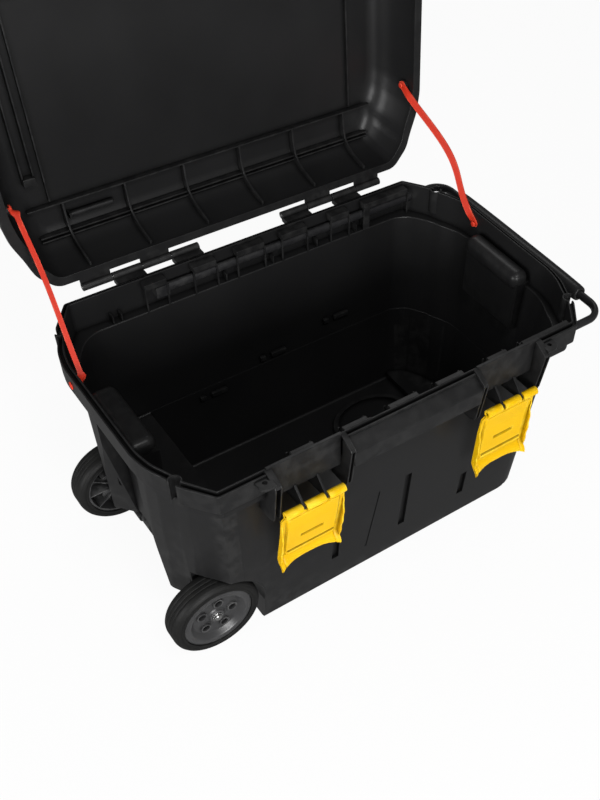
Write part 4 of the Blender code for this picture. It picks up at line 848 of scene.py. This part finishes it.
def rod_hooks(bm):
    """Moulded hooks over the handle's rods, their small posts, and the walls that stop the handle."""
    for start, end in HOOKS:
        for side in (-1, 1):
            side_block(bm, side, (start, end), (197.5 if side > 0 else 203, 214), (382, 392.5), 1.2)
            low, high = span(side, 196.4, 198.2)
            for x in (start, end):
                block(bm, (x - 1.3, low - 0.2, LEDGE - 1), (x + 1.3, high, 386), 0.4)
    for side in (-1, 1):
        walls = cutter(side_block, side, (211.3, 222), (197.2, 214.2), (343.5, 383.5))
        join(bm, carve(walls, [both_sides(rod_hole)]))


def ledge_ribs(bm):
    """Small ribs between the ledge and the lip, and low tabs on the lip's inner face."""
    for x in (-246, -232, 118, 196, -52, 34):
        for side in (-1, 1):
            side_block(bm, side, (x - 1.2, x + 1.2), (199.5, 213.4), (344, 358), 0.4)
    for start, end in ((-99, -66), (-23, 10), (49, 86)):
        for side in (-1, 1):
            side_block(bm, side, (start, end), (212.2, 214.2), (388, RIM + 0.7), 0.5)


def inner_forms(bm):
    """Rounded tops of the humps, and pairs of small ledges on the rear wall."""
    pillow(bm, (321, -66, 338), (354, 66, 371))
    pillow(bm, (-352, -66, 338), (-311, 66, 368))
    for x, z in ((-134, 144), (-13, 174), (118, 197)):
        inside = wall_y(z) - WALL
        for start, end in ((-0.5, 10.5), (21, 51)):
            block(bm, (x + start, inside - 7, z - 4.5), (x + end, inside + 1, z + 4.5), 2)


def floor_ridges(bm):
    """A raised oval on the tub's floor."""
    forms = []
    for radius, height in ((62, 9), (54, 16)):
        form = bmesh.new()
        bmesh.ops.create_cone(form, cap_ends=True, segments=64, radius1=radius, radius2=radius - 3,
                              depth=height)
        bmesh.ops.scale(form, vec=(1.35, 1, 1), verts=form.verts)
        bmesh.ops.translate(form, verts=form.verts, vec=(165, 88, 5.5))
        forms.append(form)
    join(bm, carve(forms[0], [forms[1]]))


def axle_bosses(bm):
    place = Matrix.Translation((WHEEL.x, 0, WHEEL.z)) @ axis_turn("Y")
    for side in (-1, 1):
        low, high = span(side, 58, 133.5)
        turned(bm, [(7.3, -low), (9.5, -low), (9.5, -high), (7.3, -high)], place, 32, 0.6)
        side_block(bm, side, (WHEEL.x - 3, WHEEL.x + 3), (64, 133.5), (81, 156))


def build_tub():
    bm = cut_tub()
    for fill in (pocket_plates, cheeks, fins, front_band, padlock_tabs, notch_liners, tub_hinge, rod_hooks,
                 ledge_ribs, inner_forms, floor_ridges, axle_bosses):
        fill(bm)
    piece("tub_moulding", bm, BLACK, "tub", ["tub"], weighted=True)


# Lid, made closed over the rim and then opened


def lid_point(height):
    return LID_SEAT + height


def lid_shell():
    dome = ((0.16, 0.044), (0.40, 0.060), (0.62, 0.080), (0.78, 0.104), (0.90, 0.136), (0.97, 0.172),
            (1.0, 0.225))
    soft = (10, 8, 7)
    inside = [(lid_outline(inset * LID_HALF_WIDTH + LID_WALL), lid_point(share * LID_HEIGHT - LID_WALL),
               soft, 0) for share, inset in dome[::-1]]
    edge = [(inside[-1][0], LID_SEAT, soft, 0.6), (lid_outline(0), LID_SEAT, soft, 0.8),
            (lid_outline(0), LID_SEAT + 11, soft, 1.2)]
    outside = [(lid_outline(inset * LID_HALF_WIDTH), lid_point(share * LID_HEIGHT), soft, 0)
               for share, inset in dome]
    return shell(inside + edge + outside)


def catch_recess(bm, side):
    across_latch(bm, side, 54, (-LID_HALF_WIDTH - 2, lid_point(11)), (-208, lid_point(45)), 0)


def catch_side(bm, side):
    for flank in (-1, 1):
        low, high = [side * LATCH_X + x for x in span(flank, 46, 58.4)]
        block(bm, (low, -LID_HALF_WIDTH - 2, lid_point(-2)), (high, -217.2, lid_point(12)), 0)


def catch_slot(bm, side):
    across_latch(bm, side, 60.2, (-219.4, lid_point(-1)), (-211.2, lid_point(3)), 0)


def catch_walls(bm):
    """The recess behind each catch: a back, a roof and two sides."""
    for side in (-1, 1):
        across_latch(bm, side, 58, (-209, lid_point(3)), (-205, lid_point(49)))
        across_latch(bm, side, 58, (-219, lid_point(45)), (-205, lid_point(49)))
        for edge in (side * LATCH_X - 58, side * LATCH_X + 54):
            block(bm, (edge, -222, lid_point(4)), (edge + 4, -205, lid_point(49)), 0.8)


def lid_ribs(bm):
    """Lengthwise ribs under the lid's top, with cross ribs that run down to the rim."""
    for y, top, depth, reach in ((142, 79, 13, 298), (186, 74, 11, 290), (191.5, 72, 10, 290)):
        for side in (-1, 1):
            side_block(bm, side, (-reach, reach), (y - 1.2, y + 1.2),
                       (lid_point(top - depth), lid_point(top)), 0.5)
    side_view = [(142, 66), (142, 79), (172, 78), (190, 73), (203, 60), (211, 38), (214.5, 14), (216.5, 6),
                 (209, 6), (206.5, 14), (203, 26), (199.5, 38), (192, 52), (184, 60), (168, 64)]
    for number in range(6):
        x = (number - 2.5) * 98
        for side in (-1, 1):
            plate(bm, x - 1.5, x + 1.5, [(side * y, lid_point(z)) for y, z in side_view])


def lid_fittings(bm):
    """A clip with its rounded bar, a small box with a raised slot, and the big panel's edge."""
    pillow(bm, (-238, 161, 462), (-168, 169, 470))
    block(bm, (-240, 160, 460), (-236, 170, 476))
    block(bm, (-292, 92, 461), (-274, 104, 475), 1.2)
    for x in (-292, -276):
        block(bm, (x, -100, 464), (x + 2.2, 92, 475), 0.5)
    for side in (-1, 1):
        low, high = span(side, 259.6, 262)
        block(bm, (low, -138, 468), (high, 138, 475), 0.5)


def lid_hinge(bm):
    for start, end in knuckle_spans(True):
        knuckle(bm, start, end)
        plate(bm, start, end, [(222, lid_point(0)), (HINGE.y - 1, lid_point(0)),
                               (HINGE.y - 1, lid_point(4.2)), (222, lid_point(5))], 0.8)


def cad_box(name):
    """The two corners of a CAD node's box."""
    return [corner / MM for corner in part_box(name)]


def cad_middle(name):
    return sum(cad_box(name), Vector()) / 2


def opened():
    """The turn from the closed lid to the open one."""
    return Matrix.Translation(HINGE) @ Matrix.Rotation(-OPEN_ANGLE, 4, "X") @ Matrix.Translation(-HINGE)


def build_lid():
    bm = carve(lid_shell(), [both_sides(fill) for fill in (catch_recess, catch_side, catch_slot)])
    for fill in (catch_walls, lid_ribs, lid_fittings, lid_hinge):
        fill(bm)
    move(bm, opened())
    for side, sign in SIDES.items():
        middle = cad_middle("strap_rivet_lid_" + side)
        rod(bm, (sign * 340.3, middle.y, middle.z), "X", 7.5, 11.4, 0.6)
    piece("lid_moulding", bm, BLACK, "lid", ["lid"], weighted=True)


# Latches


def smooth(value, low, high):
    share = min(max((value - low) / (high - low), 0), 1)
    return share * share * (3 - 2 * share)


def latch_flap(swing):
    """The flap as one bent sheet: it hangs from the barrel's inner side, leans to the wall, grows two flanges
    and ends in a lip that flares at its corners. Swing is how far its lower part hangs in to the wall."""
    part = bmesh.new()
    bmesh.ops.create_grid(part, x_segments=96, y_segments=FLAP_LENGTH, size=0.5)
    for vert in part.verts:
        across, down = 2 * vert.co.x, 0.5 - vert.co.y
        drop = 1 + FLAP_LENGTH * down
        half = 45.5 + 6 * smooth(drop, 7, 15)
        flange = 1.2 + 9 * smooth(drop, 8, 80) + 0.7 * sin(drop * 0.24) * smooth(drop, 20, 40)
        lip = smooth(drop, FLAP_LENGTH - 22, FLAP_LENGTH)
        x = min(abs(across) / FLAT_SHARE, 1) * half
        bend = max((abs(across) - FLAT_SHARE) / (1 - FLAT_SHARE), 0)
        corner = (x / half) ** 3
        out = lip * (6 + 9.5 * corner)
        y = 4.6 + 0.13 * drop + swing * max(drop - 45, 0) - out
        y -= bend * (max(flange, out + 0.4) - out)
        pad = smooth(x, 41.4, 40) * smooth(drop, 17, 19) * smooth(drop, LONG_BAR + 9, LONG_BAR + 8)
        y -= 2.2 * pad
        y += 1.3 * smooth(abs(x - 43.5), 1.8, 0.8) * smooth(drop, 18, 22)
        side = x if across > 0 else -x
        in_short = smooth(abs(side - 1.5), 20, 18)
        in_long = smooth(abs(side - 2), 42, 40)
        y += 4.2 * in_short * smooth(abs(drop - SHORT_BAR), 4.4, 3.4)
        y += 4.2 * in_long * smooth(abs(drop - LONG_BAR - 2), 4.6, 3.6)
        z = -drop + lip * (1 - corner) * 7
        vert.co = (side, y, z)
    face_out(part)
    bmesh.ops.solidify(part, geom=part.faces[:], thickness=2.4)
    face_out(part)
    return part


def build_latch(name, sign):
    slots = bmesh.new()
    for side in (-1, 1):
        block(slots, (side * FIN_OFFSET - 2.5, -9, -11), (side * FIN_OFFSET + 2.5, 9, 9), 0)
    bm = carve(latch_flap(FLAP_BEND[name]), [slots])
    for low, high in ((-48, -20.5), (-15.5, 15.5), (20.5, 48)):
        turned(bm, [(2.1, low), (6.6, low), (6.6, high), (2.1, high)], axis_turn("X"), 40, 0.9)
    bmesh.ops.translate(bm, verts=bm.verts, vec=LATCH_AXIS + Vector((sign * LATCH_X, 0, 0)))
    body = "latch_" + name
    piece("latch_%s_moulding" % name, bm, YELLOW, body, [body], sharp=40)


# Wheels


def wheel_place(side, inset=0):
    """The turn and place of a wheel's parts, whose outer face is at their own height 0."""
    return (Matrix.Translation((WHEEL.x, side * (WHEEL_FACE - inset), WHEEL.z))
            @ Matrix.Rotation(-side * pi / 2, 4, "X"))


def hub_profile():
    return [
        (57, -3.5), (57, -38.5), (53.5, -38.5), (53.5, -16), (14, -16), (12.5, -17), (12, -42), (7.3, -42),
        (7.3, -6.4), (9, -5.6), (11.5, -5.8), (13, -8.5), (16, -10.6), (37, -10.6), (39.5, -9.6), (45, -3.4),
        (46.6, -2), (50, -1.4), (53.5, -1.6), (56.2, -2.6)]


def build_wheel(name, side):
    hub = bmesh.new()
    turned(hub, hub_profile(), Matrix(), 96, 0.5)
    holes, collars = bmesh.new(), bmesh.new()
    for number in range(5):
        angle = 2 * pi * (number + 0.25 + HOLE_TURN) / 5
        spot = (27 * cos(angle), 27 * sin(angle))
        rod(holes, (*spot, -12), "Z", 6, 18, 0, 32)
        turned(collars, [(0, -33), (9, -33), (8.4, -7.4), (6, -7.4), (6, -31), (0, -31)],
               Matrix.Translation((*spot, 0)), 32, 0.5)
    hub = carve(hub, [holes])
    join(hub, collars)
    for number in range(10):
        turn = Matrix.Rotation(2 * pi * number / 10, 4, "Z")
        block(hub, (11.5, -1, -38), (54, 1, -15), 0.4, 2, turn)
    move(hub, wheel_place(side))
    body = "wheel_" + name
    piece("hub_%s_moulding" % name, hub, GREY, body, ["wheel_hub_" + name])
    tyre = bmesh.new()
    turned(tyre, [
        (57.3, -0.6), (60, -0.2), (62.2, -0.9), (63, -0.5), (66, -0.8), (69.8, -3), (72, -6.2), (73, -10.5),
        (73, -13.4), (72.3, -14), (73, -14.6), (73, -20.4), (72.0, -21), (73, -21.6), (73, -27.4),
        (72.3, -28), (73, -28.6), (73, -31.5), (72, -35.8), (69.8, -39), (66, -41.2), (63, -41.5),
        (62.2, -41.1), (60, -41.8), (57.3, -41.4)], wheel_place(side), 128, 0.35)
    piece("tyre_%s_moulding" % name, tyre, RUBBER, body, ["tyre_" + name], sharp=50)
    cap = bmesh.new()
    turned(cap, [
        (0, 5), (2.4, 5), (4.6, 4.3), (5.6, 3.2), (6, 1.9), (8.4, 1.5), (8.6, 0), (4.5, 0), (4.5, 3.2),
        (0, 3.5)], Matrix(), 48, 0.3)
    for number in range(6):
        block(cap, (5.6, -0.9, 1.0), (8.2, 0.9, 2.2), 0.3, 2, Matrix.Rotation(2 * pi * number / 6, 4, "Z"))
    move(cap, wheel_place(side, 5.7))
    piece("cap_%s_steel" % name, cap, STEEL, "tub", ["axle_cap_" + name])


# Pull handle


def build_handle():
    bend = 30
    corner = [(GRIP_X - bend + bend * sin(radians(a)), ROD_Y - bend + bend * cos(radians(a)))
              for a in range(0, 91, 6)]
    half = [(-161.3, ROD_Y), (0, ROD_Y), (300, ROD_Y)] + corner + [(GRIP_X, 100)]
    points = [(x, y, ROD_Z) for x, y in half] + [(x, -y, ROD_Z) for x, y in half[::-1]]
    bm = bmesh.new()
    sweep(bm, points, (5.5, 7.15), 28)
    piece("handle_rod", bm, DARK, "handle", ["handle_frame"], sharp=60)
    grip = bmesh.new()
    turned(grip, [
        (7.5, 152), (10.6, 152), (11.6, 150.8), (12.2, 147), (12.6, 140), (13.2, 110), (13.5, 60), (13.5, -60),
        (13.2, -110), (12.6, -140), (12.2, -147), (11.6, -150.8), (10.6, -152), (7.5, -152)],
           Matrix(), 56, 0.5)
    move(grip, Matrix.Translation((GRIP_X, 0, ROD_Z)) @ axis_turn("Y"))
    piece("handle_grip_sleeve", grip, BLACK, "handle", ["handle_grip"], sharp=50)


# Straps and rivets


def build_strap(name, sign):
    """A moulded band with a round eye at each end and a thin bending line beside it.

    The left band is turned flat side up between its eyes; the right one is turned a little, and bows."""
    low_rivet, high_rivet = cad_middle("strap_rivet_tub_" + name), cad_middle("strap_rivet_lid_" + name)
    box_low, box_high = cad_box("strap_" + name)
    low_x = box_high.x - STRAP_INSET if sign > 0 else box_low.x + STRAP_INSET
    high_x = box_low.x + STRAP_INSET if sign > 0 else box_high.x - STRAP_INSET
    start = Vector((low_x, low_rivet.y, low_rivet.z))
    end = Vector((high_x, high_rivet.y, high_rivet.z))
    length = (end - start).length
    along = (end - start) / length
    edgeways = along.cross(Vector((1, 0, 0))).normalized()
    outward = edgeways.cross(along).normalized()
    outward = outward if outward.x * sign > 0 else -outward
    flat_side = -outward
    part = bmesh.new()
    bmesh.ops.create_grid(part, x_segments=110, y_segments=8, size=0.5)
    for vert in part.verts:
        share, side = vert.co.x + 0.5, 2 * vert.co.y
        reach = share * (length + 2 * EYE_RADIUS) - EYE_RADIUS
        near = min(reach, length - reach)
        width = sqrt(max(EYE_RADIUS ** 2 - min(near, 0) ** 2, 0.25))
        width -= (2.9 if sign < 0 else 0.8) * smooth(near, 6, 14)
        turn = smooth(near, -2, 9) * pi / 2 if sign < 0 else smooth(near, 6, 22) * radians(-25)
        across = edgeways * cos(turn) + flat_side * sin(turn) * (1 if sign < 0 else -1)
        sag = sin(pi * min(max(reach / length, 0), 1) ** 1.25) ** 1.8
        lift = outward * sag * (STRAP_BOW.x if sign > 0 else -3)
        if sign > 0:
            lift.y += STRAP_BOW.y * sag
        else:
            lift += flat_side * 6.2 * smooth(near, -2, 9)
        vert.co = start + along * reach + across * (side * width) + lift
    face_out(part)
    bmesh.ops.solidify(part, geom=part.faces[:], thickness=2.2)
    face_out(part)
    strap = piece("strap_%s_band" % name, part, RED, None, sharp=50)
    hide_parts("strap_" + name)
    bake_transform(strap)


def build_rivet(name, body, sign):
    """A round button head with a slot, and its snap end inside the strap."""
    low, high = cad_box(name)
    middle = (low + high) / 2
    outer, inner = (high.x, low.x) if sign > 0 else (low.x, high.x)
    depth = abs(outer - inner)
    bm = bmesh.new()
    turned(bm, [
        (0, 0), (2.6, -0.1), (4.6, -0.6), (5.8, -1.3), (6, -2), (2.6, -2),
        (2.6, -depth + 1.6), (4.6, -depth + 1.6), (4.2, -depth + 0.4), (3, -depth), (0, -depth)],
           Matrix(), 40, 0.2)
    bm = carve(bm, [cutter(block, (-4, -0.7, -0.8), (4, 0.7, 1), 0)])
    place = Matrix.Translation((outer, middle.y, middle.z)) @ Matrix.Rotation(sign * pi / 2, 4, "Y")
    move(bm, place)
    piece(name + "_button", bm, RED, body, [name])


# Stage


def add_camera():
    back = Vector((sin(TURN) * cos(RISE), -cos(TURN) * cos(RISE), sin(RISE)))
    right = (-back).cross(Vector((0, 0, 1))).normalized()
    down = (-back).cross(right)
    turned_right = right * cos(ROLL) + down * sin(ROLL)
    turned_down = down * cos(ROLL) - right * sin(ROLL)
    camera = as_object("camera", bpy.data.cameras.new("camera"))
    turn = Matrix((turned_right, -turned_down, back)).transposed().to_4x4()
    camera.matrix_world = Matrix.Translation(EYE) @ turn
    camera.data.sensor_width = SENSOR
    camera.data.lens = FOCAL * SENSOR / PICTURE.y
    camera.data.shift_x = (PICTURE.x / 2 - CENTRE.x) / PICTURE.y
    camera.data.shift_y = (CENTRE.y - PICTURE.y / 2) / PICTURE.y
    camera.data.clip_start = 0.05
    bpy.context.scene.camera = camera


def area_light(name, place, target, size, power):
    light = bpy.data.lights.new(name, "AREA")
    light.shape = "RECTANGLE"
    light.size, light.size_y = size
    light.energy = power
    obj = as_object(name, light)
    obj.location = place
    obj.rotation_euler = (Vector(target) - Vector(place)).to_track_quat("-Z", "Y").to_euler()


def white_to_camera(tree, shader, output, strength, mirrored):
    """Mostly plain white to the camera, less of it in reflections, and the real surface to other light."""
    path = add_node(tree, "ShaderNodeLightPath")
    seen = add_node(tree, "ShaderNodeMath", [(0, path.outputs["Is Camera Ray"]), (1, strength)],
                    operation="MULTIPLY")
    share = add_node(tree, "ShaderNodeMath", [(0, path.outputs["Is Glossy Ray"]), (1, seen.outputs[0])],
                     operation="ADD")
    glow = add_node(tree, "ShaderNodeMath", [(0, path.outputs["Is Glossy Ray"]), (1, mirrored),
                                             (2, path.outputs["Is Camera Ray"])], operation="MULTIPLY_ADD")
    white = add_node(tree, "ShaderNodeEmission", [("Color", (1, 1, 1, 1)), ("Strength", glow.outputs[0])])
    mix = add_node(tree, "ShaderNodeMixShader", [(0, share.outputs[0]), (1, shader), (2, white.outputs[0])])
    tree.links.new(mix.outputs[0], output)


def add_stage():
    bm = bmesh.new()
    bmesh.ops.create_grid(bm, x_segments=4, y_segments=4, size=6)
    mesh = as_mesh(bm, "studio_floor")
    floor = as_object("studio_floor", mesh)
    mat = bpy.data.materials.new("studio_floor")
    mat.use_nodes = True
    tree = mat.node_tree
    shader = tree.nodes["Principled BSDF"]
    shader.inputs["Base Color"].default_value = (0.85, 0.85, 0.85, 1)
    shader.inputs["Roughness"].default_value = 0.9
    white_to_camera(tree, shader.outputs[0], tree.nodes["Material Output"].inputs["Surface"], 0.94, 0.24)
    mesh.materials.append(mat)
    world = bpy.data.worlds.new("studio")
    bpy.context.scene.world = world
    world.use_nodes = True
    tree = world.node_tree
    background = tree.nodes["Background"]
    path = add_node(tree, "ShaderNodeLightPath")
    strength = blend_range(tree, path.outputs["Is Camera Ray"], 0.0, 1.0, 0.16)
    background.inputs["Color"].default_value = (1, 1, 1, 1)
    tree.links.new(strength, background.inputs["Strength"])
    area_light("key", (-0.9, -3.0, 1.1), (0, 0, 0.35), (1.6, 1.0), 90)
    area_light("front_top", (-0.2, -1.5, 2.7), (0, 0.2, 0.55), (0.9, 0.4), 24)
    area_light("top", (1.2, 1.5, 2.5), (0, 0, 0.40), (1.2, 0.5), 8)
    area_light("side", (-3.0, -0.3, 1.0), (0, 0, 0.30), (1.0, 1.2), 46)


def dress_cad_nodes():
    """The plain steel and rod pieces keep their CAD shapes."""
    finishes = {"axle": OXIDE, "handle_stop_front": DARK, "handle_stop_rear": DARK}
    for part, sides in (("hinge_pin", SIDES), ("latch_pin", SIDES), ("wheel_washer", WHEEL_SIDES)):
        for side in sides:
            finishes[part + "_" + side] = STEEL
    for name, mat in finishes.items():
        mesh = NODES[name].data
        mesh.materials.clear()
        mesh.materials.append(mat)


build_tub()
build_lid()
for side_name, side_sign in SIDES.items():
    build_latch(side_name, side_sign)
    build_strap(side_name, side_sign)
    build_rivet("strap_rivet_tub_" + side_name, "tub", side_sign)
    build_rivet("strap_rivet_lid_" + side_name, "lid", side_sign)
for side_name, side_sign in WHEEL_SIDES.items():
    build_wheel(side_name, side_sign)
build_handle()
dress_cad_nodes()
add_camera()
add_stage()
bpy.context.scene.view_settings.view_transform = "Standard"

bpy.context.view_layer.update()
